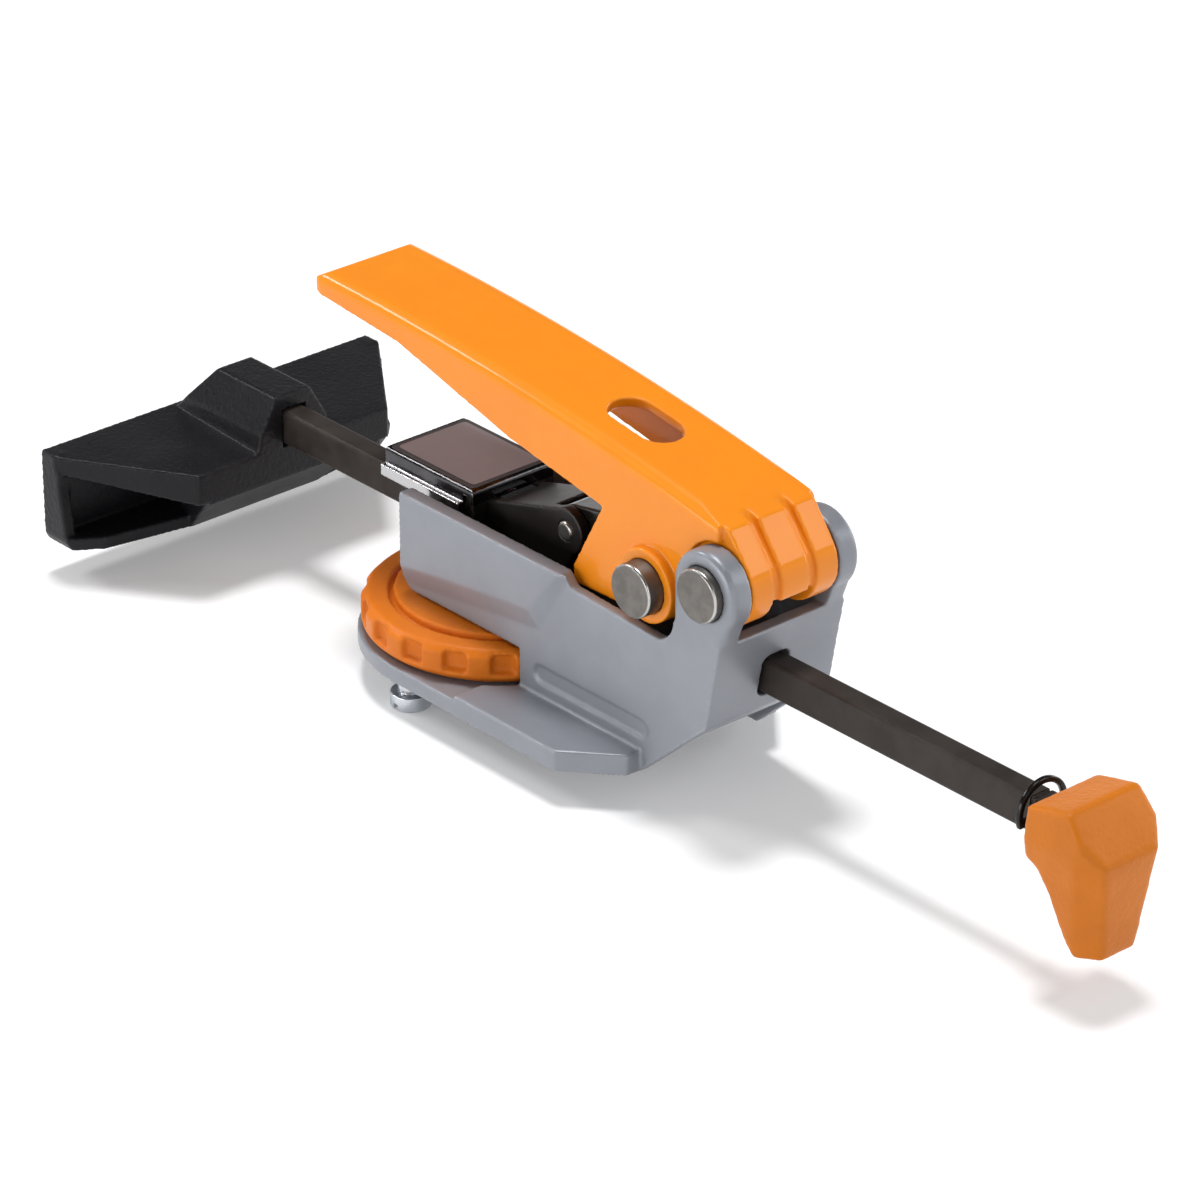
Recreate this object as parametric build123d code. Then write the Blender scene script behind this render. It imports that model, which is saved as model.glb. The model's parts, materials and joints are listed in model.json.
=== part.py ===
"""In-line push clamp for a T-track, in millimetres.

+X runs along the push rod towards the rear knob, +Y to the far side and +Z up.
The origin lies on the thumb wheel's axis, at the base's bearing face.
"""
import os
from math import atan2, cos, degrees, hypot, radians, sin

from build123d import *

# clearances and the one overrun that every cut uses
CUT = 10.0
RUN_GAP = 0.05
SLIDE_GAP = 0.4
SIDE_GAP = 0.3

# push rod
ROD_WIDTH = 6.4
ROD_HEIGHT = 9.2
ROD_EDGE = 1.1
ROD_LEVEL = 28.4
ROD_GAP = 0.9

# pivots of the toggle, in the side view
PIVOT_X = 92.7
PIVOT_Z = 54.0
LINK_REACH = 22.2
LINK_DROP = 7.3
LINK_SPAN = 38.1
LINK_FALL = 3.4
PIN_RADIUS = 6.6
TOGGLE_PIN_RADIUS = 2.5
PIN_CHAMFER = 0.5
PIN_PROUD = 2.2

# die-cast body
BODY_HALF = 19.6
WALL = 3.0
BODY_FRONT = -13.2
FRONT_ROUND = 3.5
WALL_TOP = 41.0
WALL_TOP_MID = 38.0
WALL_TOP_REAR = 36.5
PANEL_RISE = 1.4
PANEL_REAR = 47.6
PANEL_FOOT_REAR = 36.4
PANEL_FOOT_FRONT_Z = 16.7
PANEL_FOOT_REAR_Z = 22.9
PANEL_BEVEL = 5.0
PANEL_SLANT = 2.6
FLANGE_HALF = 34.9
FLANGE_THICK = 5.5
FLANGE_REAR = 72.0
FLANGE_REAR_HALF = 23.5
FLANGE_CORNER = 59.0
SEAT_THICK = 4.3
FLOOR_Z = 19.4
FLOOR_THICK = 4.3
TAIL_REACH = 1.3
TAIL_Z = 19.5
REAR_REACH = 5.6
REAR_TOP_Z = 42.0
REAR_WALL = 4.0
GUIDE_LENGTH = 6.0
GUIDE_TOP = 34.6
EAR_RADIUS = 10.2
EAR_THICK = 6.0
EAR_ROUND = 1.6
EAR_SWEEP = 6.5
RECESS_DEPTH = 0.6
RECESS_LENGTH = 40.0
RECESS_HEIGHT = 4.6
RECESS_X = 54.4
RECESS_Z = 11.2

# thumb wheel and the bolt that it draws up
WHEEL_RADIUS = 34.0
WHEEL_HEIGHT = 8.8
WHEEL_LIFT = 0.4
HUB_RADIUS = 26.0
HUB_RISE = 0.8
HUB_GROOVE = 1.4
WHEEL_EDGE = 1.8
WHEEL_GAP = 0.8
POCKET_COUNT = 18
POCKET_WIDTH = 6.4
POCKET_DEPTH = 1.9
POCKET_HEIGHT = 5.6
POCKET_SILL = 2.4
POCKET_DRAFT = 0.8
INSERT_RADIUS = 6.0
INSERT_FLANGE = 8.0
INSERT_FLANGE_THICK = 1.6
BOLT_RADIUS = 3.1
BOLT_HEAD_RADIUS = 5.4
BOLT_HEAD_HEIGHT = 3.4
BOLT_GRIP = 3.8
BOLT_TOP_MARGIN = 0.6

# guide studs that run in the same track
STUD_OFFSET = 28.8
STUD_RADIUS = 3.1
STUD_HEAD_RADIUS = 5.0
STUD_HEAD_HEIGHT = 3.8
STUD_GRIP = 4.2
STUD_SLOT = 1.4
STUD_SLOT_DEPTH = 1.5
STUD_EMBED = 3.0

# push foot
FOOT_FRONT = -115.0
FOOT_HALF = 52.0
FOOT_TOP = 25.0
FOOT_BOTTOM = 0.3
FOOT_END = 6.0
FOOT_REAR = -79.0
FOOT_REAR_HALF = 30.0
FOOT_PLATE = 4.5
FOOT_TOP_PLATE = 5.4
FOOT_UNDERCUT = 6.0
FOOT_CHAMFER = 4.0
FOOT_CHIN_Z = 6.0
NOSE_HALF = 7.7
NOSE_TOP = 36.4
NOSE_KNEE_HALF = 9.8
NOSE_KNEE_Z = 28.4
NOSE_SKIRT_HALF = 14.2
NOSE_FRONT_SLOPE = 9.0
NOSE_FRONT = -103.0

# rear knob
KNOB_FRONT = 187.4
KNOB_TOP = 37.2
KNOB_TOP_RISE = 1.2
KNOB_CREST_X = 196.6
KNOB_TAIL_X = 209.0
KNOB_TAIL_Z = 28.0
KNOB_HEEL_X = 204.6
KNOB_HEEL_Z = 4.0
KNOB_TOE_X = 199.4
KNOB_BOTTOM = 0.4
KNOB_WAIST_X = 190.4
KNOB_WAIST_Z = 19.6
KNOB_CHIN_Z = 24.6
KNOB_HALF = 9.7
KNOB_TAIL_HALF = 7.0
KNOB_TAB_HALF = 6.2
KNOB_EDGE = 1.0
KNOB_SOCKET = 14.0

# retaining ring beside the knob
RING_GAP = 5.4
RING_THICK = 1.3
RING_BAND = 1.5
RING_RADIUS = 7.6
RING_RISE = 0.8
RING_STEP = 0.5
RING_END = -22
RING_TOE = 2.0

# lever
LEVER_SIDE_GAP = 1.6
LEVER_WALL = 2.2
LEVER_EDGE = 3.4
LEVER_TIP_X = -54.0
LEVER_TIP_Z = 80.6
LEVER_CREST_X = -48.0
LEVER_CREST_Z = 84.0
LEVER_MID_X = 20.0
LEVER_MID_Z = 80.2
LEVER_HUMP_X = 84.0
LEVER_HUMP_Z = 71.6
LEVER_HEEL_X = 94.2
LEVER_HEEL_Z = 68.4
LEVER_LIP_X = -51.5
LEVER_LIP_Z = 78.6
LEVER_PALM_X = -20.0
LEVER_PALM_Z = 75.8
LEVER_BELLY_X = 20.3
LEVER_BELLY_Z = 65.3
LEVER_STEP_X = 53.2
LEVER_STEP_Z = 59.6
LEVER_JAW_X = 43.2
LEVER_JAW_Z = 41.0
LEVER_FOOT_Z = 36.6
KNUCKLE_SIDE_GAP = 0.4
KNUCKLE_RADIUS = 9.9
KNUCKLE_GROOVE = 2.2
GROOVE_DEPTH = 1.1
GROOVE_Y = 5.4
KNUCKLE_START = 35
KNUCKLE_LIFT = 3.6
HEEL_BEVEL = 3.6
JOG_X = 76.0
EAR_CLEARANCE = 0.7
BOSS_RADIUS = 9.2
BOSS_RISE = 2.4
TIP_BULGE = 2.0
TIP_CORNER = 4.5
HANG_HOLE_LENGTH = 21.0
HANG_HOLE_WIDTH = 11.5
HANG_HOLE_X = 51.6
HANG_RIM = 1.8
HANG_RIM_RISE = 0.5

# link between the lever and the drive yoke
LINK_HALF = 5.0
LINK_EYE = 9.6
LINK_NOSE = 5.6

# drive yoke that rides on the rod
YOKE_CHEEK = 2.6
YOKE_NOSE = 5.8
YOKE_FRONT = -24.0
YOKE_STEP = 3.4
YOKE_HEAD_GAP = 5.0
YOKE_HEAD_LOW = 35.4
YOKE_HEAD_TOP = 43.8
YOKE_LOW = 20.6
YOKE_REAR_TOP = 41.2
YOKE_BRIDGE = 2.2
PUSHER_LENGTH = 8.4
STOP_X = 21.0
STOP_LENGTH = 3.0
JAM_THICK = 2.5
JAM_TOP = 41.4
JAM_LEAD = 2.0
SPRING_WIRE = 0.55
SPRING_TURNS = 4
SPRING_CLEAR = 0.9
SCREW_RADIUS = 2.5
SCREW_HEAD_RADIUS = 3.2
SCREW_HEAD_LENGTH = 3.0
SCREW_LEVEL = 38.6
SCREW_DRIVE = 1.0

# sheet-metal cover of the drive
COVER_THICK = 1.1
COVER_FRONT = -28.0
COVER_REAR = 4.6
COVER_DROP = 4.1
COVER_REAR_DROP = 7.6
COVER_BEND = 1.3
COVER_LIP = 1.5
COVER_LIP_DROP = 2.9
COVER_RELIEF = 2.6

# cross pins that hold the foot and the knob
CROSS_PIN_RADIUS = 1.5
CROSS_PIN_MARGIN = 1.0
FOOT_PIN_X = -90.0
KNOB_PIN_X = 195.0

TAIL_X = PIVOT_X + TAIL_REACH
REAR_TOP_X = PIVOT_X + REAR_REACH
LINK_X = PIVOT_X - LINK_REACH
LINK_Z = PIVOT_Z - LINK_DROP
TOGGLE_X = LINK_X - LINK_SPAN
TOGGLE_Z = LINK_Z - LINK_FALL
EAR_FRONT = PIVOT_X - EAR_RADIUS
SEAT_END = WHEEL_RADIUS - 2 * FLANGE_THICK
PIN_HALF = BODY_HALF + PIN_PROUD
EAR_IN = BODY_HALF - EAR_THICK
CHANNEL_HALF = BODY_HALF - WALL
LEVER_HALF = CHANNEL_HALF - LEVER_SIDE_GAP
KNUCKLE_HALF = EAR_IN - KNUCKLE_SIDE_GAP
YOKE_HEAD_HALF = CHANNEL_HALF - YOKE_HEAD_GAP
CEILING_Z = FLOOR_Z - FLOOR_THICK
ROD_TOP = ROD_LEVEL + ROD_HEIGHT / 2
ROD_FRONT = NOSE_FRONT
ROD_REAR = KNOB_FRONT + KNOB_SOCKET
JAM_BACK = YOKE_STEP + JAM_LEAD + JAM_THICK + SIDE_GAP
BRIDGE_REAR = TOGGLE_X - LINK_NOSE - SIDE_GAP


def side_plate(outline, low_y, high_y):
    """Solid between two side planes, from points in the X-Z view."""
    face = make_face(Polyline(*outline, close=True))
    return Pos(0, high_y, 0) * extrude(Plane.XZ * face, amount=high_y - low_y)


def plan_plate(outline, low_z, high_z):
    """Solid between two levels, from points in the plan view."""
    face = make_face(Polyline(*outline, close=True))
    return Pos(0, 0, low_z) * extrude(face, amount=high_z - low_z)


def end_plate(outline, low_x, high_x):
    """Solid between two stations along the rod, from points in the Y-Z view."""
    face = make_face(Polyline(*outline, close=True))
    return Pos(low_x, 0, 0) * extrude(Plane.YZ * face, amount=high_x - low_x)


def block(low_x, high_x, low_y, high_y, low_z, high_z):
    """Rectangular block between its limits."""
    size = (high_x - low_x, high_y - low_y, high_z - low_z)
    centre = ((low_x + high_x) / 2, (low_y + high_y) / 2, (low_z + high_z) / 2)
    return Pos(*centre) * Box(*size)


def cross_rod(x, z, radius, half_length):
    """Round bar across the clamp, centred on its middle plane."""
    return Pos(x, 0, z) * Rot(90, 0, 0) * Cylinder(radius, 2 * half_length)


def upright(radius, low_z, high_z, x=0, y=0):
    """Round bar along Z between two levels."""
    return Pos(x, y, (low_z + high_z) / 2) * Cylinder(radius, high_z - low_z)


def rod_bar(low_x, high_x, grow=0):
    """Bar with the push rod's section, grown all round by a clearance."""
    section = RectangleRounded(ROD_WIDTH + 2 * grow, ROD_HEIGHT + 2 * grow, ROD_EDGE + grow)
    return Pos(low_x, 0, ROD_LEVEL) * extrude(Plane.YZ * section, amount=high_x - low_x)


def body_profile():
    """Side view of the walls, from the wheel slot's ceiling to the tail."""
    return [
        (BODY_FRONT, CEILING_Z), (SEAT_END, CEILING_Z), (SEAT_END, 0),
        (FLANGE_REAR, 0), (TAIL_X, TAIL_Z), (REAR_TOP_X, REAR_TOP_Z),
        (EAR_FRONT, REAR_TOP_Z), (EAR_FRONT, WALL_TOP_REAR),
        (PANEL_REAR, WALL_TOP_MID), (PANEL_REAR - PANEL_SLANT, WALL_TOP), (BODY_FRONT, WALL_TOP),
    ]


def ear():
    """Pivot ear that stands on the rear of one side wall, with its outer edge rounded."""
    post = make_face(Polyline(
        (EAR_FRONT, FLOOR_Z), (TAIL_X, FLOOR_Z), (REAR_TOP_X, REAR_TOP_Z),
        (PIVOT_X + EAR_RADIUS, PIVOT_Z), (EAR_FRONT, PIVOT_Z), close=True))
    face = post + Pos(PIVOT_X, PIVOT_Z) * Circle(EAR_RADIUS)
    whole = Pos(0, BODY_HALF, 0) * extrude(Plane.XZ * face, amount=EAR_THICK)
    outer = whole.edges().group_by(Axis.Y)[-1]
    whole = fillet(outer.filter_by(lambda edge: edge.center().Z > FLOOR_Z + EAR_ROUND), EAR_ROUND)
    sweep_x = EAR_FRONT - EAR_SWEEP
    gusset = side_plate([
        (sweep_x, WALL_TOP_REAR - EAR_SWEEP), (EAR_FRONT + EAR_ROUND, WALL_TOP_REAR - EAR_SWEEP),
        (EAR_FRONT + EAR_ROUND, WALL_TOP_REAR + EAR_SWEEP), (sweep_x, WALL_TOP_REAR + EAR_SWEEP),
    ], CHANNEL_HALF, BODY_HALF)
    return whole + (gusset - cross_rod(sweep_x, WALL_TOP_REAR + EAR_SWEEP, EAR_SWEEP, BODY_HALF + CUT))


def base_plate():
    """Round wheel seat with the flange that runs back from it."""
    seat = upright(FLANGE_HALF, 0, SEAT_THICK)
    outline = [(SEAT_END, FLANGE_HALF), (FLANGE_CORNER, FLANGE_HALF), (FLANGE_REAR, FLANGE_REAR_HALF)]
    outline += [(x, -y) for x, y in reversed(outline)]
    return seat + plan_plate(outline, 0, FLANGE_THICK) + plan_plate(
        [(0, FLANGE_HALF), (SEAT_END, FLANGE_HALF), (SEAT_END, -FLANGE_HALF), (0, -FLANGE_HALF)],
        0, SEAT_THICK)


def raised_panel():
    """Pad that stands proud of the far side wall, bevelled along its foot and rear."""
    foot = [
        (BODY_FRONT, PANEL_FOOT_FRONT_Z), (PANEL_FOOT_REAR, PANEL_FOOT_REAR_Z),
        (PANEL_REAR, WALL_TOP), (BODY_FRONT, WALL_TOP),
    ]
    face = [
        (BODY_FRONT, PANEL_FOOT_FRONT_Z + PANEL_BEVEL),
        (PANEL_FOOT_REAR - PANEL_SLANT, PANEL_FOOT_REAR_Z + PANEL_BEVEL),
        (PANEL_REAR - PANEL_SLANT, WALL_TOP), (BODY_FRONT, WALL_TOP),
    ]
    low = Pos(0, BODY_HALF, 0) * (Plane.XZ * make_face(Polyline(*foot, close=True)))
    high = Pos(0, BODY_HALF + PANEL_RISE, 0) * (Plane.XZ * make_face(Polyline(*face, close=True)))
    return loft([low, high], ruled=True)


def clamp_body():
    """Die-cast body: seat, flange, side walls, guide, rear wall and ears."""
    walls = side_plate(body_profile(), -BODY_HALF, BODY_HALF)
    inside = [
        (BODY_FRONT - CUT, FLOOR_Z), (TAIL_X - REAR_WALL, FLOOR_Z),
        (REAR_TOP_X - REAR_WALL, REAR_TOP_Z), (REAR_TOP_X - REAR_WALL, REAR_TOP_Z + CUT),
        (BODY_FRONT - CUT, REAR_TOP_Z + CUT),
    ]
    hollow = [
        (WHEEL_RADIUS + WALL, -CUT), (TAIL_X + CUT, -CUT), (TAIL_X + CUT, CEILING_Z),
        (WHEEL_RADIUS + WALL, CEILING_Z),
    ]
    walls -= side_plate(inside, -CHANNEL_HALF, CHANNEL_HALF)
    far_ear = ear()
    panel = raised_panel()
    body = walls + base_plate() + far_ear + mirror(far_ear, about=Plane.XZ)
    body -= side_plate(hollow, -CHANNEL_HALF, CHANNEL_HALF)
    body -= upright(WHEEL_RADIUS + WHEEL_GAP, SEAT_THICK, CEILING_Z)
    body += block(BODY_FRONT, BODY_FRONT + GUIDE_LENGTH, -CHANNEL_HALF, CHANNEL_HALF,
                  CEILING_Z, GUIDE_TOP)
    body += panel + mirror(panel, about=Plane.XZ)
    centre_x, centre_z = BODY_FRONT + FRONT_ROUND, CEILING_Z + FRONT_ROUND
    corner = block(BODY_FRONT - CUT, centre_x, -BODY_HALF - CUT, BODY_HALF + CUT, CEILING_Z, centre_z)
    body -= corner - cross_rod(centre_x, centre_z, FRONT_ROUND, BODY_HALF + 2 * CUT)
    body -= rod_bar(BODY_FRONT - CUT, BODY_FRONT + GUIDE_LENGTH + CUT, RUN_GAP)
    body -= rod_bar(TAIL_X - 2 * CUT, REAR_TOP_X + CUT, ROD_GAP)
    body -= cross_rod(PIVOT_X, PIVOT_Z, PIN_RADIUS, BODY_HALF + CUT)
    body -= upright(BOLT_RADIUS + SLIDE_GAP, -CUT, SEAT_THICK + CUT)
    for side in (-1, 1):
        body -= upright(STUD_RADIUS, -CUT, STUD_EMBED, 0, side * STUD_OFFSET)
        slot = SlotOverall(RECESS_LENGTH, RECESS_HEIGHT)
        body -= Pos(RECESS_X, side * BODY_HALF, RECESS_Z) * Rot(90, 0, 0) * extrude(
            slot, amount=RECESS_DEPTH, both=True)
    return body


def pivot_pin():
    """Headless steel pin through both ears."""
    pin = cross_rod(PIVOT_X, PIVOT_Z, PIN_RADIUS, PIN_HALF)
    return chamfer(pin.edges().filter_by(GeomType.CIRCLE), PIN_CHAMFER)


def link_pin():
    """Headless steel pin through the lever's bosses and the link."""
    pin = cross_rod(LINK_X, LINK_Z, PIN_RADIUS, PIN_HALF)
    return chamfer(pin.edges().filter_by(GeomType.CIRCLE), PIN_CHAMFER)


def toggle_pin():
    """Small rivet that joins the link to the yoke's cheeks."""
    half = LINK_HALF + SIDE_GAP + YOKE_CHEEK
    pin = cross_rod(TOGGLE_X, TOGGLE_Z, TOGGLE_PIN_RADIUS, half + PIN_CHAMFER)
    return chamfer(pin.edges().filter_by(GeomType.CIRCLE), PIN_CHAMFER)


def guide_stud(side):
    """Slotted shoulder stud under the base, on one side of the bolt."""
    low = -STUD_GRIP - STUD_HEAD_HEIGHT
    stud = upright(STUD_RADIUS, -STUD_GRIP, STUD_EMBED) + upright(STUD_HEAD_RADIUS, low, -STUD_GRIP)
    stud -= block(-STUD_SLOT / 2, STUD_SLOT / 2, -STUD_HEAD_RADIUS - CUT, STUD_HEAD_RADIUS + CUT,
                  low - CUT, low + STUD_SLOT_DEPTH)
    return Pos(0, side * STUD_OFFSET, 0) * stud


def thumb_wheel():
    """Dished plastic wheel with finger pockets round its rim."""
    low = SEAT_THICK + WHEEL_LIFT
    high = low + WHEEL_HEIGHT
    outline = [
        (INSERT_RADIUS, low), (WHEEL_RADIUS - WHEEL_EDGE, low), (WHEEL_RADIUS, low + WHEEL_EDGE),
        (WHEEL_RADIUS, high - WHEEL_EDGE), (WHEEL_RADIUS - WHEEL_EDGE, high),
        (HUB_RADIUS + HUB_GROOVE, high), (HUB_RADIUS + HUB_GROOVE, high - HUB_GROOVE),
        (HUB_RADIUS, high - HUB_GROOVE), (HUB_RADIUS, high + HUB_RISE),
        (INSERT_RADIUS, high + HUB_RISE),
    ]
    profile = make_face(Plane.XZ * Polyline(*outline, close=True))
    wheel = revolve(profile, Axis.Z)
    wheel -= upright(INSERT_FLANGE, high + HUB_RISE - INSERT_FLANGE_THICK, high + CUT)
    middle = low + POCKET_SILL + POCKET_HEIGHT / 2
    floor = Pos(WHEEL_RADIUS - POCKET_DEPTH, 0, middle) * (Plane.YZ * Rectangle(
        POCKET_WIDTH - 2 * POCKET_DRAFT, POCKET_HEIGHT - 2 * POCKET_DRAFT))
    mouth = Pos(WHEEL_RADIUS + POCKET_DEPTH, 0, middle) * (Plane.YZ * Rectangle(
        POCKET_WIDTH + 2 * POCKET_DRAFT, POCKET_HEIGHT + 2 * POCKET_DRAFT))
    pocket = loft([floor, mouth], ruled=True)
    for turn in range(POCKET_COUNT):
        wheel -= Rot(0, 0, turn * 360 / POCKET_COUNT) * pocket
    return wheel


def wheel_insert():
    """Threaded metal insert moulded into the wheel."""
    low = SEAT_THICK + WHEEL_LIFT
    high = low + WHEEL_HEIGHT + HUB_RISE
    insert = upright(INSERT_RADIUS, low, high)
    insert += upright(INSERT_FLANGE, high - INSERT_FLANGE_THICK, high)
    return insert - upright(BOLT_RADIUS + RUN_GAP, low - CUT, high + CUT)


def track_bolt():
    """Bolt whose head slides in the track."""
    top = SEAT_THICK + WHEEL_LIFT + WHEEL_HEIGHT + HUB_RISE - 2 * BOLT_TOP_MARGIN
    bolt = upright(BOLT_RADIUS, -BOLT_GRIP, top)
    head = RegularPolygon(BOLT_HEAD_RADIUS, 6, major_radius=False)
    return bolt + Pos(0, 0, -BOLT_GRIP - BOLT_HEAD_HEIGHT) * extrude(head, amount=BOLT_HEAD_HEIGHT)


def push_rod():
    """Flat bar with rounded edges, pinned into the foot and the knob."""
    rod = rod_bar(ROD_FRONT, ROD_REAR)
    groove_x = KNOB_FRONT - RING_GAP - RING_THICK
    core = rod_bar(groove_x - CUT, groove_x + CUT, -RING_STEP)
    rod -= rod_bar(groove_x, groove_x + RING_THICK, CUT) - core
    for x in (FOOT_PIN_X, KNOB_PIN_X):
        rod -= cross_rod(x, ROD_LEVEL, CROSS_PIN_RADIUS, ROD_WIDTH)
    return rod


def retaining_ring():
    """Open snap ring that arches over the rod, with two toes in its groove."""
    low_x = KNOB_FRONT - RING_GAP - RING_THICK
    level = ROD_LEVEL + RING_RISE
    end_z = RING_RADIUS * sin(radians(RING_END))
    ring = Circle(RING_RADIUS) - Circle(RING_RADIUS - RING_BAND)
    ring -= Pos(0, end_z - CUT) * Rectangle(2 * CUT, 2 * CUT)
    reach = RING_RADIUS * cos(radians(RING_END)) - RING_BAND / 2
    inner = ROD_WIDTH / 2 - RING_STEP + RUN_GAP
    for side in (-1, 1):
        ring += Pos(side * (reach + inner) / 2, end_z + RING_TOE / 2) * Rectangle(reach - inner, RING_TOE)
    return Pos(low_x, 0, level) * extrude(Plane.YZ * ring, amount=RING_THICK)


def push_foot():
    """Wide plastic foot: front plate, hollow wings and a nose for the rod."""
    half_plan = [(FOOT_FRONT, FOOT_HALF), (FOOT_FRONT + FOOT_END, FOOT_HALF),
                 (FOOT_REAR, FOOT_REAR_HALF)]
    plan = half_plan + [(x, -y) for x, y in reversed(half_plan)]
    foot = plan_plate(plan, FOOT_BOTTOM, FOOT_TOP)
    side = [
        (FOOT_FRONT, FOOT_BOTTOM), (FOOT_REAR - 2 * FOOT_UNDERCUT, FOOT_BOTTOM),
        (FOOT_REAR - FOOT_UNDERCUT, FOOT_BOTTOM + FOOT_CHIN_Z), (FOOT_REAR, FOOT_TOP),
        (FOOT_FRONT, FOOT_TOP),
    ]
    foot &= side_plate(side, -FOOT_HALF, FOOT_HALF)
    front = [
        (FOOT_HALF, FOOT_TOP), (FOOT_HALF, FOOT_BOTTOM + FOOT_CHAMFER),
        (FOOT_HALF - FOOT_CHAMFER, FOOT_BOTTOM),
    ]
    front += [(-y, z) for y, z in reversed(front)]
    foot &= end_plate(front, FOOT_FRONT, FOOT_REAR)
    for way in (-1, 1):
        wing = [
            (FOOT_FRONT + FOOT_PLATE, way * NOSE_SKIRT_HALF),
            (FOOT_FRONT + FOOT_PLATE, way * (FOOT_HALF + CUT)),
            (FOOT_REAR + CUT, way * (FOOT_HALF + CUT)),
            (FOOT_REAR + CUT, way * FOOT_REAR_HALF),
            (FOOT_REAR - FOOT_PLATE, way * (FOOT_REAR_HALF - FOOT_PLATE)),
            (FOOT_REAR - FOOT_PLATE, way * NOSE_SKIRT_HALF),
        ]
        foot -= plan_plate(wing, FOOT_BOTTOM + FOOT_PLATE, FOOT_TOP - FOOT_TOP_PLATE)
    nose = [(NOSE_HALF, NOSE_TOP), (NOSE_KNEE_HALF, NOSE_KNEE_Z),
            (NOSE_SKIRT_HALF, FOOT_TOP - FOOT_TOP_PLATE)]
    nose += [(-y, z) for y, z in reversed(nose)]
    hub = end_plate(nose, FOOT_FRONT, FOOT_REAR)
    hub_side = [
        (NOSE_FRONT - NOSE_FRONT_SLOPE, FOOT_TOP - FOOT_TOP_PLATE), (FOOT_REAR, FOOT_TOP - FOOT_TOP_PLATE),
        (FOOT_REAR, NOSE_TOP), (NOSE_FRONT, NOSE_TOP),
        (NOSE_FRONT - NOSE_FRONT_SLOPE, FOOT_TOP),
    ]
    foot += hub & side_plate(hub_side, -FOOT_HALF, FOOT_HALF)
    foot -= rod_bar(ROD_FRONT, FOOT_REAR + CUT)
    return foot - cross_rod(FOOT_PIN_X, ROD_LEVEL, CROSS_PIN_RADIUS, NOSE_HALF - CROSS_PIN_MARGIN)


def rear_knob():
    """Faceted plastic knob with a finger tab that hangs below the rod."""
    side = [
        (KNOB_FRONT, KNOB_TOP), (KNOB_CREST_X, KNOB_TOP + KNOB_TOP_RISE),
        (KNOB_TAIL_X, KNOB_TAIL_Z), (KNOB_HEEL_X, KNOB_HEEL_Z), (KNOB_TOE_X, KNOB_BOTTOM),
        (KNOB_WAIST_X, KNOB_WAIST_Z), (KNOB_FRONT, KNOB_CHIN_Z),
    ]
    knob = side_plate(side, -KNOB_HALF, KNOB_HALF)
    plan = [(KNOB_FRONT, KNOB_HALF), (KNOB_CREST_X, KNOB_HALF), (KNOB_TAIL_X, KNOB_TAIL_HALF)]
    plan += [(x, -y) for x, y in reversed(plan)]
    knob &= plan_plate(plan, KNOB_BOTTOM, KNOB_TOP + KNOB_TOP_RISE)
    front = [
        (KNOB_TAIL_HALF, KNOB_TOP + KNOB_TOP_RISE), (KNOB_HALF, KNOB_TAIL_Z + KNOB_EDGE),
        (KNOB_HALF, KNOB_CHIN_Z), (KNOB_TAB_HALF, KNOB_BOTTOM),
    ]
    front += [(-y, z) for y, z in reversed(front)]
    knob &= end_plate(front, KNOB_FRONT, KNOB_TAIL_X)
    knob -= rod_bar(KNOB_FRONT - CUT, ROD_REAR)
    return knob - cross_rod(KNOB_PIN_X, ROD_LEVEL, CROSS_PIN_RADIUS, KNOB_HALF - CROSS_PIN_MARGIN)


def cross_pin(x, half):
    """Hidden pin that holds a moulding on the rod."""
    return cross_rod(x, ROD_LEVEL, CROSS_PIN_RADIUS, half - CROSS_PIN_MARGIN)


def crown_curve(drop=0):
    """Smooth top line of the lever in the side view, lowered by a wall."""
    return Plane.XZ * Spline(
        (LEVER_CREST_X, LEVER_CREST_Z - drop), (LEVER_MID_X, LEVER_MID_Z - drop),
        (LEVER_HUMP_X, LEVER_HUMP_Z - drop))


def knuckle_point(radius, angle):
    """Point of the side view at an angle round the pivot."""
    return PIVOT_X + radius * cos(radians(angle)), PIVOT_Z + radius * sin(radians(angle))


def curved_plate(top, outline, low_y, high_y):
    """Solid between two side planes under a curve that the outline closes."""
    lines = Plane.XZ * Polyline(*outline)
    face = make_face(Curve() + [top] + lines.edges())
    return Pos(0, high_y, 0) * extrude(face, amount=high_y - low_y, dir=(0, -1, 0))


def lever_plan(inset=0):
    """Plan of the lever with a bowed, round-cornered tip, drawn in by a wall."""
    half = LEVER_HALF - inset
    tip = LEVER_TIP_X + inset
    lines = Polyline((tip + TIP_BULGE, -half), (PIVOT_X + 2 * EAR_RADIUS, -half),
                     (PIVOT_X + 2 * EAR_RADIUS, half), (tip + TIP_BULGE, half))
    bow = ThreePointArc((tip + TIP_BULGE, half), (tip, 0), (tip + TIP_BULGE, -half))
    face = make_face(Curve() + lines.edges() + [bow])
    corners = face.vertices().sort_by(Axis.X)[:2]
    face = fillet(corners, TIP_CORNER - inset)
    return extrude(face, amount=LEVER_CREST_Z + CUT, dir=(0, 0, 1))


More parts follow.
